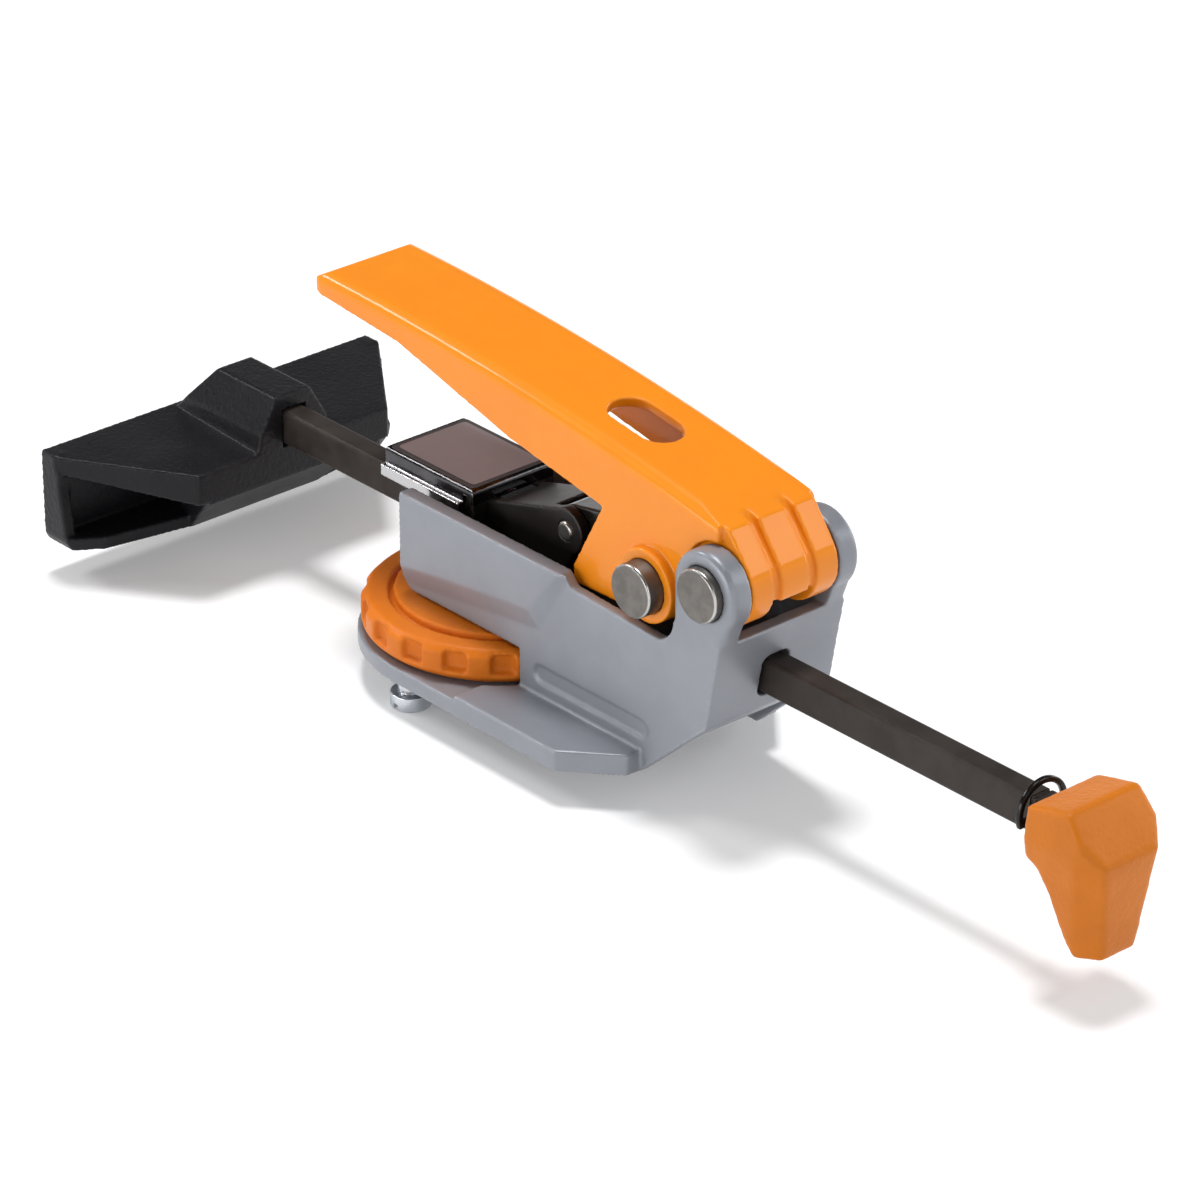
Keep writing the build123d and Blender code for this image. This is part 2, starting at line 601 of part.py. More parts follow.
def lever_shell():
    """Outer form of the lever with its rounded crown."""
    outline = [
        (LEVER_HUMP_X, LEVER_HUMP_Z), (LEVER_HEEL_X, LEVER_HEEL_Z),
        knuckle_point(KNUCKLE_RADIUS, KNUCKLE_START), (PIVOT_X, PIVOT_Z),
        (LINK_X, LINK_Z - BOSS_RADIUS), (LEVER_JAW_X, LEVER_FOOT_Z), (LEVER_JAW_X, LEVER_JAW_Z),
        (LEVER_STEP_X, LEVER_STEP_Z), (LEVER_BELLY_X, LEVER_BELLY_Z),
        (LEVER_PALM_X, LEVER_PALM_Z), (LEVER_LIP_X, LEVER_LIP_Z), (LEVER_TIP_X, LEVER_TIP_Z),
        (LEVER_CREST_X, LEVER_CREST_Z),
    ]
    shell = curved_plate(crown_curve(), outline, -LEVER_HALF, LEVER_HALF)
    crown = [edge for edge in shell.edges().filter_by(GeomType.BSPLINE)]
    shell = fillet(ShapeList(crown), LEVER_EDGE) & lever_plan()
    shell += cross_rod(LINK_X, LINK_Z, BOSS_RADIUS, LEVER_HALF + BOSS_RISE)
    return shell + cross_rod(PIVOT_X, PIVOT_Z, KNUCKLE_RADIUS, KNUCKLE_HALF)


def lever_hollow(half):
    """Space inside the lever's sheet, open downwards."""
    inner = KNUCKLE_RADIUS - LEVER_WALL
    outline = [
        (LEVER_HUMP_X, LEVER_HUMP_Z - LEVER_WALL),
        (LEVER_HEEL_X - LEVER_WALL, LEVER_HEEL_Z - LEVER_WALL), knuckle_point(inner, KNUCKLE_START),
        (PIVOT_X, PIVOT_Z), (PIVOT_X, PIVOT_Z - KNUCKLE_RADIUS - CUT),
        (LEVER_TIP_X, LEVER_FOOT_Z - CUT), (LEVER_TIP_X, LEVER_TIP_Z - LEVER_WALL),
        (LEVER_CREST_X, LEVER_CREST_Z - LEVER_WALL),
    ]
    return curved_plate(crown_curve(LEVER_WALL), outline, -half, half) & lever_plan(LEVER_WALL)


def hang_hole(grow, low, high):
    """Long hole square to the lever's crown, grown by a rim."""
    fall = degrees(atan2(LEVER_MID_Z - LEVER_HUMP_Z, LEVER_HUMP_X - LEVER_MID_X))
    share = (HANG_HOLE_X - LEVER_MID_X) / (LEVER_HUMP_X - LEVER_MID_X)
    level = LEVER_MID_Z + (LEVER_HUMP_Z - LEVER_MID_Z) * share
    outline = SlotOverall(HANG_HOLE_LENGTH + 2 * grow, HANG_HOLE_WIDTH + 2 * grow)
    return Pos(HANG_HOLE_X, 0, level) * Rot(0, fall, 0) * Pos(0, 0, low) * extrude(
        outline, amount=high - low)


def ear_relief(low_y, high_y):
    """Space that one ear of the body needs beside the knuckle, with the crown's bevelled end."""
    wrap = EAR_RADIUS + EAR_CLEARANCE
    middle = (low_y + high_y) / 2
    relief = Pos(PIVOT_X, middle, PIVOT_Z) * Rot(90, 0, 0) * Cylinder(wrap, high_y - low_y)
    relief += block(EAR_FRONT - EAR_CLEARANCE, PIVOT_X + wrap, low_y, high_y, 0, PIVOT_Z)
    crown = [
        (PIVOT_X, PIVOT_Z), (PIVOT_X, LEVER_HEEL_Z - HEEL_BEVEL / 2),
        (PIVOT_X - HEEL_BEVEL, LEVER_CREST_Z), (PIVOT_X + 2 * wrap, LEVER_CREST_Z),
        (PIVOT_X + 2 * wrap, PIVOT_Z),
    ]
    return relief + side_plate(crown, low_y, high_y)


def knuckle_groove(side):
    """Groove down the back of the knuckle, between its lug and its centre."""
    deep = KNUCKLE_RADIUS - GROOVE_DEPTH
    track = [
        (LEVER_HUMP_X + HEEL_BEVEL, LEVER_HUMP_Z),
        (LEVER_HEEL_X - GROOVE_DEPTH, LEVER_HEEL_Z - GROOVE_DEPTH),
        knuckle_point(deep, KNUCKLE_START), (PIVOT_X + CUT, PIVOT_Z), (PIVOT_X + 2 * CUT, PIVOT_Z),
        (PIVOT_X + 2 * CUT, LEVER_CREST_Z), (LEVER_HUMP_X + HEEL_BEVEL, LEVER_CREST_Z),
    ]
    middle = side * GROOVE_Y
    low_y, high_y = middle - KNUCKLE_GROOVE / 2, middle + KNUCKLE_GROOVE / 2
    groove = side_plate(track, low_y, high_y)
    groove += block(PIVOT_X, PIVOT_X + 2 * CUT, low_y, high_y,
                    PIVOT_Z - 2 * CUT, PIVOT_Z + KNUCKLE_RADIUS / 2)
    return groove - cross_rod(PIVOT_X, PIVOT_Z, deep, LEVER_HALF)


def lever():
    """Pressed lever: hollow handle, bosses for the link pin and a knuckle."""
    part = lever_shell() - lever_hollow(KNUCKLE_HALF - LEVER_WALL)
    front = block(LEVER_TIP_X, JOG_X, -LEVER_HALF, LEVER_HALF, 0, LEVER_CREST_Z)
    part -= lever_hollow(LEVER_HALF) & front
    part += hang_hole(HANG_RIM, -LEVER_WALL, HANG_RIM_RISE)
    part -= hang_hole(0, -CUT, CUT)
    part -= ear_relief(-LEVER_HALF - CUT, -KNUCKLE_HALF) + ear_relief(KNUCKLE_HALF, LEVER_HALF + CUT)
    centre = GROOVE_Y + KNUCKLE_GROOVE / 2
    part -= block(PIVOT_X, PIVOT_X + 2 * KNUCKLE_RADIUS, -centre, centre, 0, PIVOT_Z - KNUCKLE_LIFT)
    for side in (-1, 1):
        part -= knuckle_groove(side)
    part -= cross_rod(LINK_X, LINK_Z, PIN_RADIUS, LEVER_HALF + CUT)
    return part - cross_rod(PIVOT_X, PIVOT_Z, PIN_RADIUS + RUN_GAP, LEVER_HALF + CUT)


def toggle_link():
    """Forged link from the lever's pin forward to the yoke's rivet."""
    length = hypot(LINK_SPAN, LINK_FALL)
    across = (-LINK_FALL / length, LINK_SPAN / length)
    outline = [
        (TOGGLE_X + across[0] * LINK_NOSE, TOGGLE_Z + across[1] * LINK_NOSE),
        (LINK_X + across[0] * LINK_EYE, LINK_Z + across[1] * LINK_EYE),
        (LINK_X - across[0] * LINK_EYE, LINK_Z - across[1] * LINK_EYE),
        (TOGGLE_X - across[0] * LINK_NOSE, TOGGLE_Z - across[1] * LINK_NOSE),
    ]
    link = side_plate(outline, -LINK_HALF, LINK_HALF)
    link += cross_rod(TOGGLE_X, TOGGLE_Z, LINK_NOSE, LINK_HALF)
    link += cross_rod(LINK_X, LINK_Z, LINK_EYE, LINK_HALF)
    link -= cross_rod(LINK_X, LINK_Z, PIN_RADIUS + RUN_GAP, LINK_HALF + CUT)
    return link - cross_rod(TOGGLE_X, TOGGLE_Z, TOGGLE_PIN_RADIUS + RUN_GAP, LINK_HALF + CUT)


def bridge_level(x):
    """Height of the yoke's sloping top at a station."""
    share = (x - COVER_REAR - SIDE_GAP) / (TOGGLE_X - COVER_REAR - SIDE_GAP)
    return YOKE_REAR_TOP + (TOGGLE_Z + YOKE_NOSE - YOKE_REAR_TOP) * share


def drive_yoke():
    """Steel yoke: head, pusher round the rod, and two cheeks up to the rivet."""
    inner = LINK_HALF + SIDE_GAP
    outer = inner + YOKE_CHEEK
    rear = STOP_X + STOP_LENGTH
    side = [
        (YOKE_STEP - PUSHER_LENGTH, YOKE_LOW), (rear, YOKE_LOW),
        (TOGGLE_X + YOKE_NOSE, TOGGLE_Z), (TOGGLE_X, TOGGLE_Z + YOKE_NOSE),
        (COVER_REAR + SIDE_GAP, YOKE_REAR_TOP), (YOKE_STEP - PUSHER_LENGTH, YOKE_REAR_TOP),
    ]
    yoke = side_plate(side, -outer, outer) + cross_rod(TOGGLE_X, TOGGLE_Z, YOKE_NOSE, outer)
    yoke -= block(YOKE_STEP, STOP_X, -inner, inner, YOKE_LOW - CUT, YOKE_HEAD_TOP + CUT)
    yoke -= block(rear, rear + TOGGLE_X, -inner, inner, YOKE_LOW - CUT, YOKE_HEAD_TOP + CUT)
    yoke -= block(STOP_X - SIDE_GAP, rear + SIDE_GAP, -inner, inner, SCREW_LEVEL, YOKE_HEAD_TOP + CUT)
    yoke += side_plate([
        (JAM_BACK, YOKE_REAR_TOP), (BRIDGE_REAR, bridge_level(BRIDGE_REAR) - YOKE_BRIDGE),
        (BRIDGE_REAR, bridge_level(BRIDGE_REAR)), (JAM_BACK, bridge_level(JAM_BACK)),
    ], -outer, outer)
    yoke += block(YOKE_FRONT, YOKE_STEP, -YOKE_HEAD_HALF, YOKE_HEAD_HALF, YOKE_HEAD_LOW, YOKE_HEAD_TOP)
    yoke -= rod_bar(YOKE_FRONT - CUT, rear + CUT, SLIDE_GAP + RUN_GAP)
    yoke -= cross_rod(TOGGLE_X, TOGGLE_Z, TOGGLE_PIN_RADIUS, outer + CUT)
    hole = Pos(YOKE_FRONT - CUT, 0, SCREW_LEVEL) * Rot(0, 90, 0) * Cylinder(
        SCREW_RADIUS + RUN_GAP, YOKE_STEP - YOKE_FRONT + 2 * CUT,
        align=(Align.CENTER, Align.CENTER, Align.MIN))
    return yoke - (hole & block(YOKE_FRONT - CUT, YOKE_STEP + CUT, -inner, inner, 0, LEVER_CREST_Z))


def jam_plate():
    """Hardened plate that bites on the rod between the yoke's cheeks."""
    low_x = YOKE_STEP + JAM_LEAD
    plate = block(low_x, low_x + JAM_THICK, -LINK_HALF, LINK_HALF, YOKE_LOW + SIDE_GAP, JAM_TOP)
    return plate - rod_bar(low_x - CUT, low_x + CUT, SLIDE_GAP + RUN_GAP)


def jam_spring():
    """Coil spring that holds the jam plate forward against the screw."""
    start = YOKE_STEP + JAM_LEAD + JAM_THICK + SPRING_WIRE
    length = STOP_X - SPRING_WIRE - start
    radius = LINK_HALF - SPRING_CLEAR - 2 * SPRING_WIRE
    path = Helix(length / SPRING_TURNS, length, radius)
    section = Plane(origin=path @ 0, z_dir=path % 0) * Circle(SPRING_WIRE)
    coil = sweep(section, path=path, is_frenet=True)
    return Pos(start, 0, ROD_TOP + SPRING_CLEAR + radius) * Rot(0, 90, 0) * coil


def force_screw():
    """Socket screw that sets how early the jam plate bites."""
    tip = YOKE_STEP + JAM_LEAD - SIDE_GAP
    shank = Cylinder(SCREW_RADIUS, tip - YOKE_FRONT, align=(Align.CENTER, Align.CENTER, Align.MIN))
    head = Pos(0, 0, -SCREW_HEAD_LENGTH) * Cylinder(
        SCREW_HEAD_RADIUS, SCREW_HEAD_LENGTH, align=(Align.CENTER, Align.CENTER, Align.MIN))
    bar = Box(SCREW_DRIVE, 2 * SCREW_RADIUS, SCREW_RADIUS)
    cross = bar + Rot(0, 0, 90) * bar
    head -= Pos(0, 0, -SCREW_HEAD_LENGTH) * cross
    return Pos(YOKE_FRONT, 0, SCREW_LEVEL) * Rot(0, 90, 0) * (shank + head)


def drive_cover():
    """Bright sheet cover: top, side flanges and a notched rear flange."""
    half = YOKE_HEAD_HALF + COVER_THICK + RUN_GAP
    top = YOKE_HEAD_TOP + COVER_THICK
    cover = block(COVER_FRONT, COVER_REAR, -half, half, top - COVER_REAR_DROP, top)
    bends = [edge for edge in cover.edges().filter_by(Axis.X) if edge.center().Z > YOKE_HEAD_TOP]
    bends += [edge for edge in cover.edges().filter_by(Axis.Y)
              if edge.center().Z > YOKE_HEAD_TOP and edge.center().X > 0]
    cover = fillet(ShapeList(bends), COVER_BEND)
    cover -= block(COVER_FRONT - CUT, COVER_REAR - COVER_THICK, COVER_THICK - half,
                   half - COVER_THICK, 0, YOKE_HEAD_TOP)
    leg = LINK_HALF + SIDE_GAP + YOKE_CHEEK + SIDE_GAP
    cover -= block(COVER_REAR - COVER_THICK - CUT, COVER_REAR + CUT, -leg, leg, 0, YOKE_REAR_TOP + RUN_GAP)
    for side in (-1, 1):
        relief = Pos(COVER_REAR - COVER_THICK - COVER_RELIEF / 2, side * half, 0)
        cover -= relief * block(-COVER_RELIEF / 2, COVER_RELIEF / 2, -COVER_RELIEF, COVER_RELIEF,
                                0, YOKE_HEAD_TOP - COVER_THICK)
        flange_rear = COVER_REAR - COVER_THICK - COVER_RELIEF
        cover -= block(COVER_FRONT - CUT, flange_rear + COVER_RELIEF / 2,
                       side * half - COVER_RELIEF, side * half + COVER_RELIEF, 0, top - COVER_DROP)
        lip = top - COVER_DROP
        sheets = [(half - COVER_THICK, lip - COVER_THICK),
                  (half + COVER_LIP - COVER_THICK, lip - COVER_LIP_DROP)]
        for reach, low in sheets:
            inner, outer = sorted((side * reach, side * (half + COVER_LIP)))
            cover += block(COVER_FRONT, flange_rear, inner, outer, low, lip)
    return cover


def guide_studs():
    """Both guide studs, in line with the track."""
    return Compound(children=[guide_stud(-1), guide_stud(1)])


def foot_pin():
    """Pin through the foot's nose and the rod."""
    return cross_pin(FOOT_PIN_X, NOSE_HALF)


def knob_pin():
    """Pin through the knob and the rod."""
    return cross_pin(KNOB_PIN_X, KNOB_HALF)


NODES = [
    clamp_body, pivot_pin, guide_studs, thumb_wheel, wheel_insert, track_bolt, push_rod,
    push_foot, foot_pin, rear_knob, knob_pin, retaining_ring, lever, link_pin, toggle_link,
    drive_yoke, toggle_pin, jam_plate, jam_spring, force_screw, drive_cover,
]


def main():
    """Build each node and write its STEP file."""
    os.makedirs("parts", exist_ok=True)
    for make in NODES:
        export_step(make(), "parts/" + make.__name__ + ".step")


main()
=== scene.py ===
"""Dresses the T-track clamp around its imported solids, lights it and sets the camera."""

import json
import logging
import math
from collections.abc import Callable
from dataclasses import dataclass
from enum import Enum

import bmesh
import bpy
from mathutils import Euler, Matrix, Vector


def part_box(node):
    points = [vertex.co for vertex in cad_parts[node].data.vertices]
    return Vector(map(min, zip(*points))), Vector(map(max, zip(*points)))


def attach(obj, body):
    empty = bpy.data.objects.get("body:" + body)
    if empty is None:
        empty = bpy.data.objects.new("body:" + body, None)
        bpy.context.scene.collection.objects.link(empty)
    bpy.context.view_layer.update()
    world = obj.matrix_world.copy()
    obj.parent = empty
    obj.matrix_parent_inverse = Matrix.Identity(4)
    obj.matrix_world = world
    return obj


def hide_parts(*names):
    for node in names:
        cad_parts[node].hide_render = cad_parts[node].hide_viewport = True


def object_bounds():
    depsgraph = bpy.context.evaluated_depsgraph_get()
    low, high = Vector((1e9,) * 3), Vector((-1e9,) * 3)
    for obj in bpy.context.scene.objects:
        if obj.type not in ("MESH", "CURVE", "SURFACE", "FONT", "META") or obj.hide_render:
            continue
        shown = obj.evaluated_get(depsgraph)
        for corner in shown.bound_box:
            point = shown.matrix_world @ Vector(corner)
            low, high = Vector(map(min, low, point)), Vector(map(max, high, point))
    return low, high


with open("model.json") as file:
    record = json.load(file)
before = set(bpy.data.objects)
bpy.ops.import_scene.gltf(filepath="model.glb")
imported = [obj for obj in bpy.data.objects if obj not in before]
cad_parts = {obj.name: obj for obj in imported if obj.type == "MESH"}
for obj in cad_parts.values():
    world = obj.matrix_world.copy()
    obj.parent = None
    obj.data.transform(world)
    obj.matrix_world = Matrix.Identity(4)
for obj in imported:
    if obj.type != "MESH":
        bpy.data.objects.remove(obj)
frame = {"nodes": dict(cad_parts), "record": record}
CAD_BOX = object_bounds()

LOG = logging.getLogger("clamp")
Colour = tuple[float, float, float]
Point = tuple[float, float, float]
Pair = tuple[float, float]
# One millimetre in the scene's metres.
MM = 0.001
# Turn of a piece while it is remeshed, so that none of its edges lies along the grid.
TILT = Euler((0.61, 0.44, 0.70)).to_matrix().to_4x4()
# Steps round a turned piece.
TURN_STEPS = 72
# Attribute that marks where a piece gets a painted highlight: its colour turns bright there, standing for
# light caught on it.
HIGHLIGHT_ATTRIBUTE = "painted_highlight"
# Distances under which vertices merge, on a solid's triangles and on a piece made here.
NODE_WELD = 2e-6
MADE_WELD = 1e-6
# Angle under which two triangles of a solid lie in one plane.
FLAT_ANGLE = math.radians(0.8)


class Body(Enum):
    """The moving bodies that a piece can ride on."""

    BASE = "base"
    WHEEL = "wheel"
    BOLT = "bolt"
    ROD = "rod"
    LEVER = "lever"
    LINK = "link"
    CARRIAGE = "carriage"
    SCREW = "screw"


class Sheet:
    """A node tree with short ways to add and join nodes."""

    def __init__(self, tree: bpy.types.NodeTree) -> None:
        """Keeps the tree.

        Args:
            tree: the node tree to fill.
        """
        self.tree = tree

    def add(self, kind: str, **settings: object) -> bpy.types.Node:
        """Adds a node.

        Args:
            kind: the node's type name.
            settings: attributes of the node.

        Returns:
            The new node.
        """
        node = self.tree.nodes.new(kind)
        for name, value in settings.items():
            setattr(node, name, value)
        return node

    def join(self, source: bpy.types.NodeSocket, target: bpy.types.NodeSocket) -> None:
        """Links an output to an input."""
        self.tree.links.new(source, target)

    def maths(self, operation: str, first: object, second: object = None) -> bpy.types.NodeSocket:
        """Adds a Math node.

        Args:
            operation: what it does.
            first: a socket or a number.
            second: a socket, a number or nothing.

        Returns:
            The node's output.
        """
        node = self.add("ShaderNodeMath", operation=operation)
        for slot, value in enumerate((first, second)):
            if isinstance(value, bpy.types.NodeSocket):
                self.join(value, node.inputs[slot])
            elif value is not None:
                node.inputs[slot].default_value = value
        return node.outputs[0]

    def ramp(self, source: bpy.types.NodeSocket, low: float, high: float,
             to_low: float = 0.0, to_high: float = 1.0) -> bpy.types.NodeSocket:
        """Maps a value from one range to another and clamps it.

        Args:
            source: the value.
            low: start of its range.
            high: end of its range.
            to_low: result at the start.
            to_high: result at the end.

        Returns:
            The mapped value.
        """
        node = self.add("ShaderNodeMapRange", interpolation_type="SMOOTHSTEP")
        self.join(source, node.inputs["Value"])
        for name, value in (("From Min", low), ("From Max", high), ("To Min", to_low), ("To Max", to_high)):
            node.inputs[name].default_value = value
        return node.outputs["Result"]

    def blend(self, mask: bpy.types.NodeSocket, first: object, second: object) -> bpy.types.NodeSocket:
        """Mixes two colours by a mask.

        Args:
            mask: 0 for the first, 1 for the second.
            first: a colour or a socket.
            second: a colour or a socket.

        Returns:
            The mixed colour.
        """
        node = self.add("ShaderNodeMix", data_type="RGBA")
        self.join(mask, node.inputs[0])
        for slot, value in ((6, first), (7, second)):
            if isinstance(value, bpy.types.NodeSocket):
                self.join(value, node.inputs[slot])
            else:
                node.inputs[slot].default_value = (*value, 1.0)
        return node.outputs[2]


class Effects:
    """Shader groups that more than one finish uses, each built once."""

    EDGE_RANGE = (0.01, 0.16)
    PATCH_RANGE = (0.35, 0.65)
    PATCH_DETAIL = 5.0
    GRAIN_DETAIL = 2.0
    LUMP_SCALE = 0.55
    CLOUD_RANGE = (0.3, 0.7)
    CLOUD_DETAIL = 4.0
    CLOUD_ROUGHNESS = 0.6

    def __init__(self) -> None:
        """Builds the groups."""
        self.wear = self._edge_wear()
        self.grain = self._grain()
        self.patches = self._blotches()

    @staticmethod
    def _group(name: str, inputs: dict[str, float], outputs: tuple[str, ...]) -> tuple[
            bpy.types.NodeTree, Sheet, bpy.types.Node, bpy.types.Node]:
        """Starts a group with float sockets.

        Args:
            name: the group's name.
            inputs: names and default values of the inputs.
            outputs: names of the outputs.

        Returns:
            The tree, its sheet, and its input and output nodes.
        """
        tree = bpy.data.node_groups.new(name, "ShaderNodeTree")
        for label, value in inputs.items():
            socket = tree.interface.new_socket(label, in_out="INPUT", socket_type="NodeSocketFloat")
            socket.default_value = value
        for label in outputs:
            tree.interface.new_socket(label, in_out="OUTPUT", socket_type="NodeSocketFloat")
        sheet = Sheet(tree)
        return tree, sheet, sheet.add("NodeGroupInput"), sheet.add("NodeGroupOutput")

    def _edge_wear(self) -> bpy.types.NodeTree:
        """Mask of edge wear, from how far a rounded normal leaves the true one.

        Returns:
            The group's tree.
        """
        tree, sheet, start, end = self._group(
            "edge_wear", {"Radius": 0.0006, "Patch Scale": 300.0, "Spread": 0.5}, ("Wear",))
        place = sheet.add("ShaderNodeTexCoord").outputs["Object"]
        bevel = sheet.add("ShaderNodeBevel", samples=4)
        sheet.join(start.outputs["Radius"], bevel.inputs["Radius"])
        geometry = sheet.add("ShaderNodeNewGeometry")
        dot = sheet.add("ShaderNodeVectorMath", operation="DOT_PRODUCT")
        sheet.join(bevel.outputs["Normal"], dot.inputs[0])
        sheet.join(geometry.outputs["Normal"], dot.inputs[1])
        edge = sheet.ramp(sheet.maths("SUBTRACT", 1.0, dot.outputs["Value"]), *self.EDGE_RANGE)
        patches = sheet.add("ShaderNodeTexNoise")
        patches.inputs["Detail"].default_value = self.PATCH_DETAIL
        sheet.join(place, patches.inputs["Vector"])
        sheet.join(start.outputs["Patch Scale"], patches.inputs["Scale"])
        patch = sheet.ramp(patches.outputs["Fac"], *self.PATCH_RANGE)
        kept = sheet.maths("ADD", start.outputs["Spread"], patch)
        wear_and_highlight = sheet.maths("MULTIPLY", edge, kept)
        sheet.join(sheet.maths("MINIMUM", wear_and_highlight, 1.0), end.inputs["Wear"])
        return tree

    def _grain(self) -> bpy.types.NodeTree:
        """Fine raised grain of a moulded, cast or sprayed surface.

        Returns:
            The group's tree.
        """
        tree, sheet, start, end = self._group(
            "surface_grain", {"Grain Scale": 900.0, "Coarse": 0.35}, ("Height",))
        place = sheet.add("ShaderNodeTexCoord").outputs["Object"]
        fine = sheet.add("ShaderNodeTexNoise")
        fine.inputs["Detail"].default_value = self.GRAIN_DETAIL
        sheet.join(place, fine.inputs["Vector"])
        sheet.join(start.outputs["Grain Scale"], fine.inputs["Scale"])
        broad = sheet.add("ShaderNodeTexVoronoi", feature="SMOOTH_F1")
        sheet.join(place, broad.inputs["Vector"])
        lump_scale = sheet.maths("MULTIPLY", start.outputs["Grain Scale"], self.LUMP_SCALE)
        sheet.join(lump_scale, broad.inputs["Scale"])
        lumps = sheet.maths("MULTIPLY", broad.outputs["Distance"], start.outputs["Coarse"])
        sheet.join(sheet.maths("ADD", fine.outputs["Fac"], lumps), end.inputs["Height"])
        return tree

    def _blotches(self) -> bpy.types.NodeTree:
        """Slow uneven patches, as handling and casting leave them.

        Returns:
            The group's tree.
        """
        tree, sheet, start, end = self._group("slow_patches", {"Patch Scale": 40.0}, ("Patch",))
        place = sheet.add("ShaderNodeTexCoord").outputs["Object"]
        cloud = sheet.add("ShaderNodeTexNoise")
        cloud.inputs["Detail"].default_value = self.CLOUD_DETAIL
        cloud.inputs["Roughness"].default_value = self.CLOUD_ROUGHNESS
        sheet.join(place, cloud.inputs["Vector"])
        sheet.join(start.outputs["Patch Scale"], cloud.inputs["Scale"])
        sheet.join(sheet.ramp(cloud.outputs["Fac"], *self.CLOUD_RANGE), end.inputs["Patch"])
        return tree


@dataclass(frozen=True)
class Finish:
    """One surface finish: colours, gloss, grain, edge wear, and painted highlights where a piece marks them.
    """

    name: str
    colour: Colour
    patch_colour: Colour
    wear_and_highlight_colour: Colour
    roughness: float
    patch_roughness: float
    worn_roughness: float
    metallic: float = 0.0
    worn_metallic: float = 0.0
    grain_scale: float = 900.0
    grain_depth: float = 0.00002
    coarse: float = 0.35
    patch_scale: float = 40.0
    wear_radius: float = 0.0006
    wear_scale: float = 300.0
    wear_spread: float = 0.4
    wear_share: float = 0.6
    coat: float = 0.0
    coat_roughness: float = 0.05
    specular: float = 0.5

    def material(self, effects: Effects) -> bpy.types.Material:
        """Builds the finish as a material.

        Args:
            effects: the shared shader groups.

        Returns:
            The material.
        """
        made = bpy.data.materials.new(self.name)
        made.use_nodes = True
        sheet = Sheet(made.node_tree)
        shader = made.node_tree.nodes["Principled BSDF"]
        shader.inputs["Coat Weight"].default_value = self.coat
        shader.inputs["Coat Roughness"].default_value = self.coat_roughness
        shader.inputs["Specular IOR Level"].default_value = self.specular
        wear = sheet.add("ShaderNodeGroup", node_tree=effects.wear)
        wear.inputs["Radius"].default_value = self.wear_radius
        wear.inputs["Patch Scale"].default_value = self.wear_scale
        wear.inputs["Spread"].default_value = self.wear_spread
        patch = sheet.add("ShaderNodeGroup", node_tree=effects.patches)
        patch.inputs["Patch Scale"].default_value = self.patch_scale
        # Painted highlights from the attribute take the same bright colour as edge wear; the mask below holds
        # both.
        painted_highlight = sheet.add("ShaderNodeAttribute", attribute_name=HIGHLIGHT_ATTRIBUTE)
        edges = sheet.maths("MULTIPLY", wear.outputs["Wear"], self.wear_share)
        wear_and_highlight = sheet.maths("MAXIMUM", edges, painted_highlight.outputs["Fac"])
        ground = sheet.blend(patch.outputs["Patch"], self.colour, self.patch_colour)
        sheet.join(sheet.blend(wear_and_highlight, ground, self.wear_and_highlight_colour), shader.inputs["Base Color"])
        rough = sheet.ramp(patch.outputs["Patch"], 0.0, 1.0, self.roughness, self.patch_roughness)
        drop = sheet.maths("MULTIPLY", wear_and_highlight, self.worn_roughness - self.roughness)
        sheet.join(sheet.maths("ADD", rough, drop), shader.inputs["Roughness"])
        if self.metallic == self.worn_metallic:
            shader.inputs["Metallic"].default_value = self.metallic
        else:
            metal = sheet.ramp(wear_and_highlight, 0.0, 1.0, self.metallic, self.worn_metallic)
            sheet.join(metal, shader.inputs["Metallic"])
        grain = sheet.add("ShaderNodeGroup", node_tree=effects.grain)
        grain.inputs["Grain Scale"].default_value = self.grain_scale
        grain.inputs["Coarse"].default_value = self.coarse
        bump = sheet.add("ShaderNodeBump")
        bump.inputs["Distance"].default_value = self.grain_depth
        sheet.join(grain.outputs["Height"], bump.inputs["Height"])
        sheet.join(bump.outputs["Normal"], shader.inputs["Normal"])
        return made


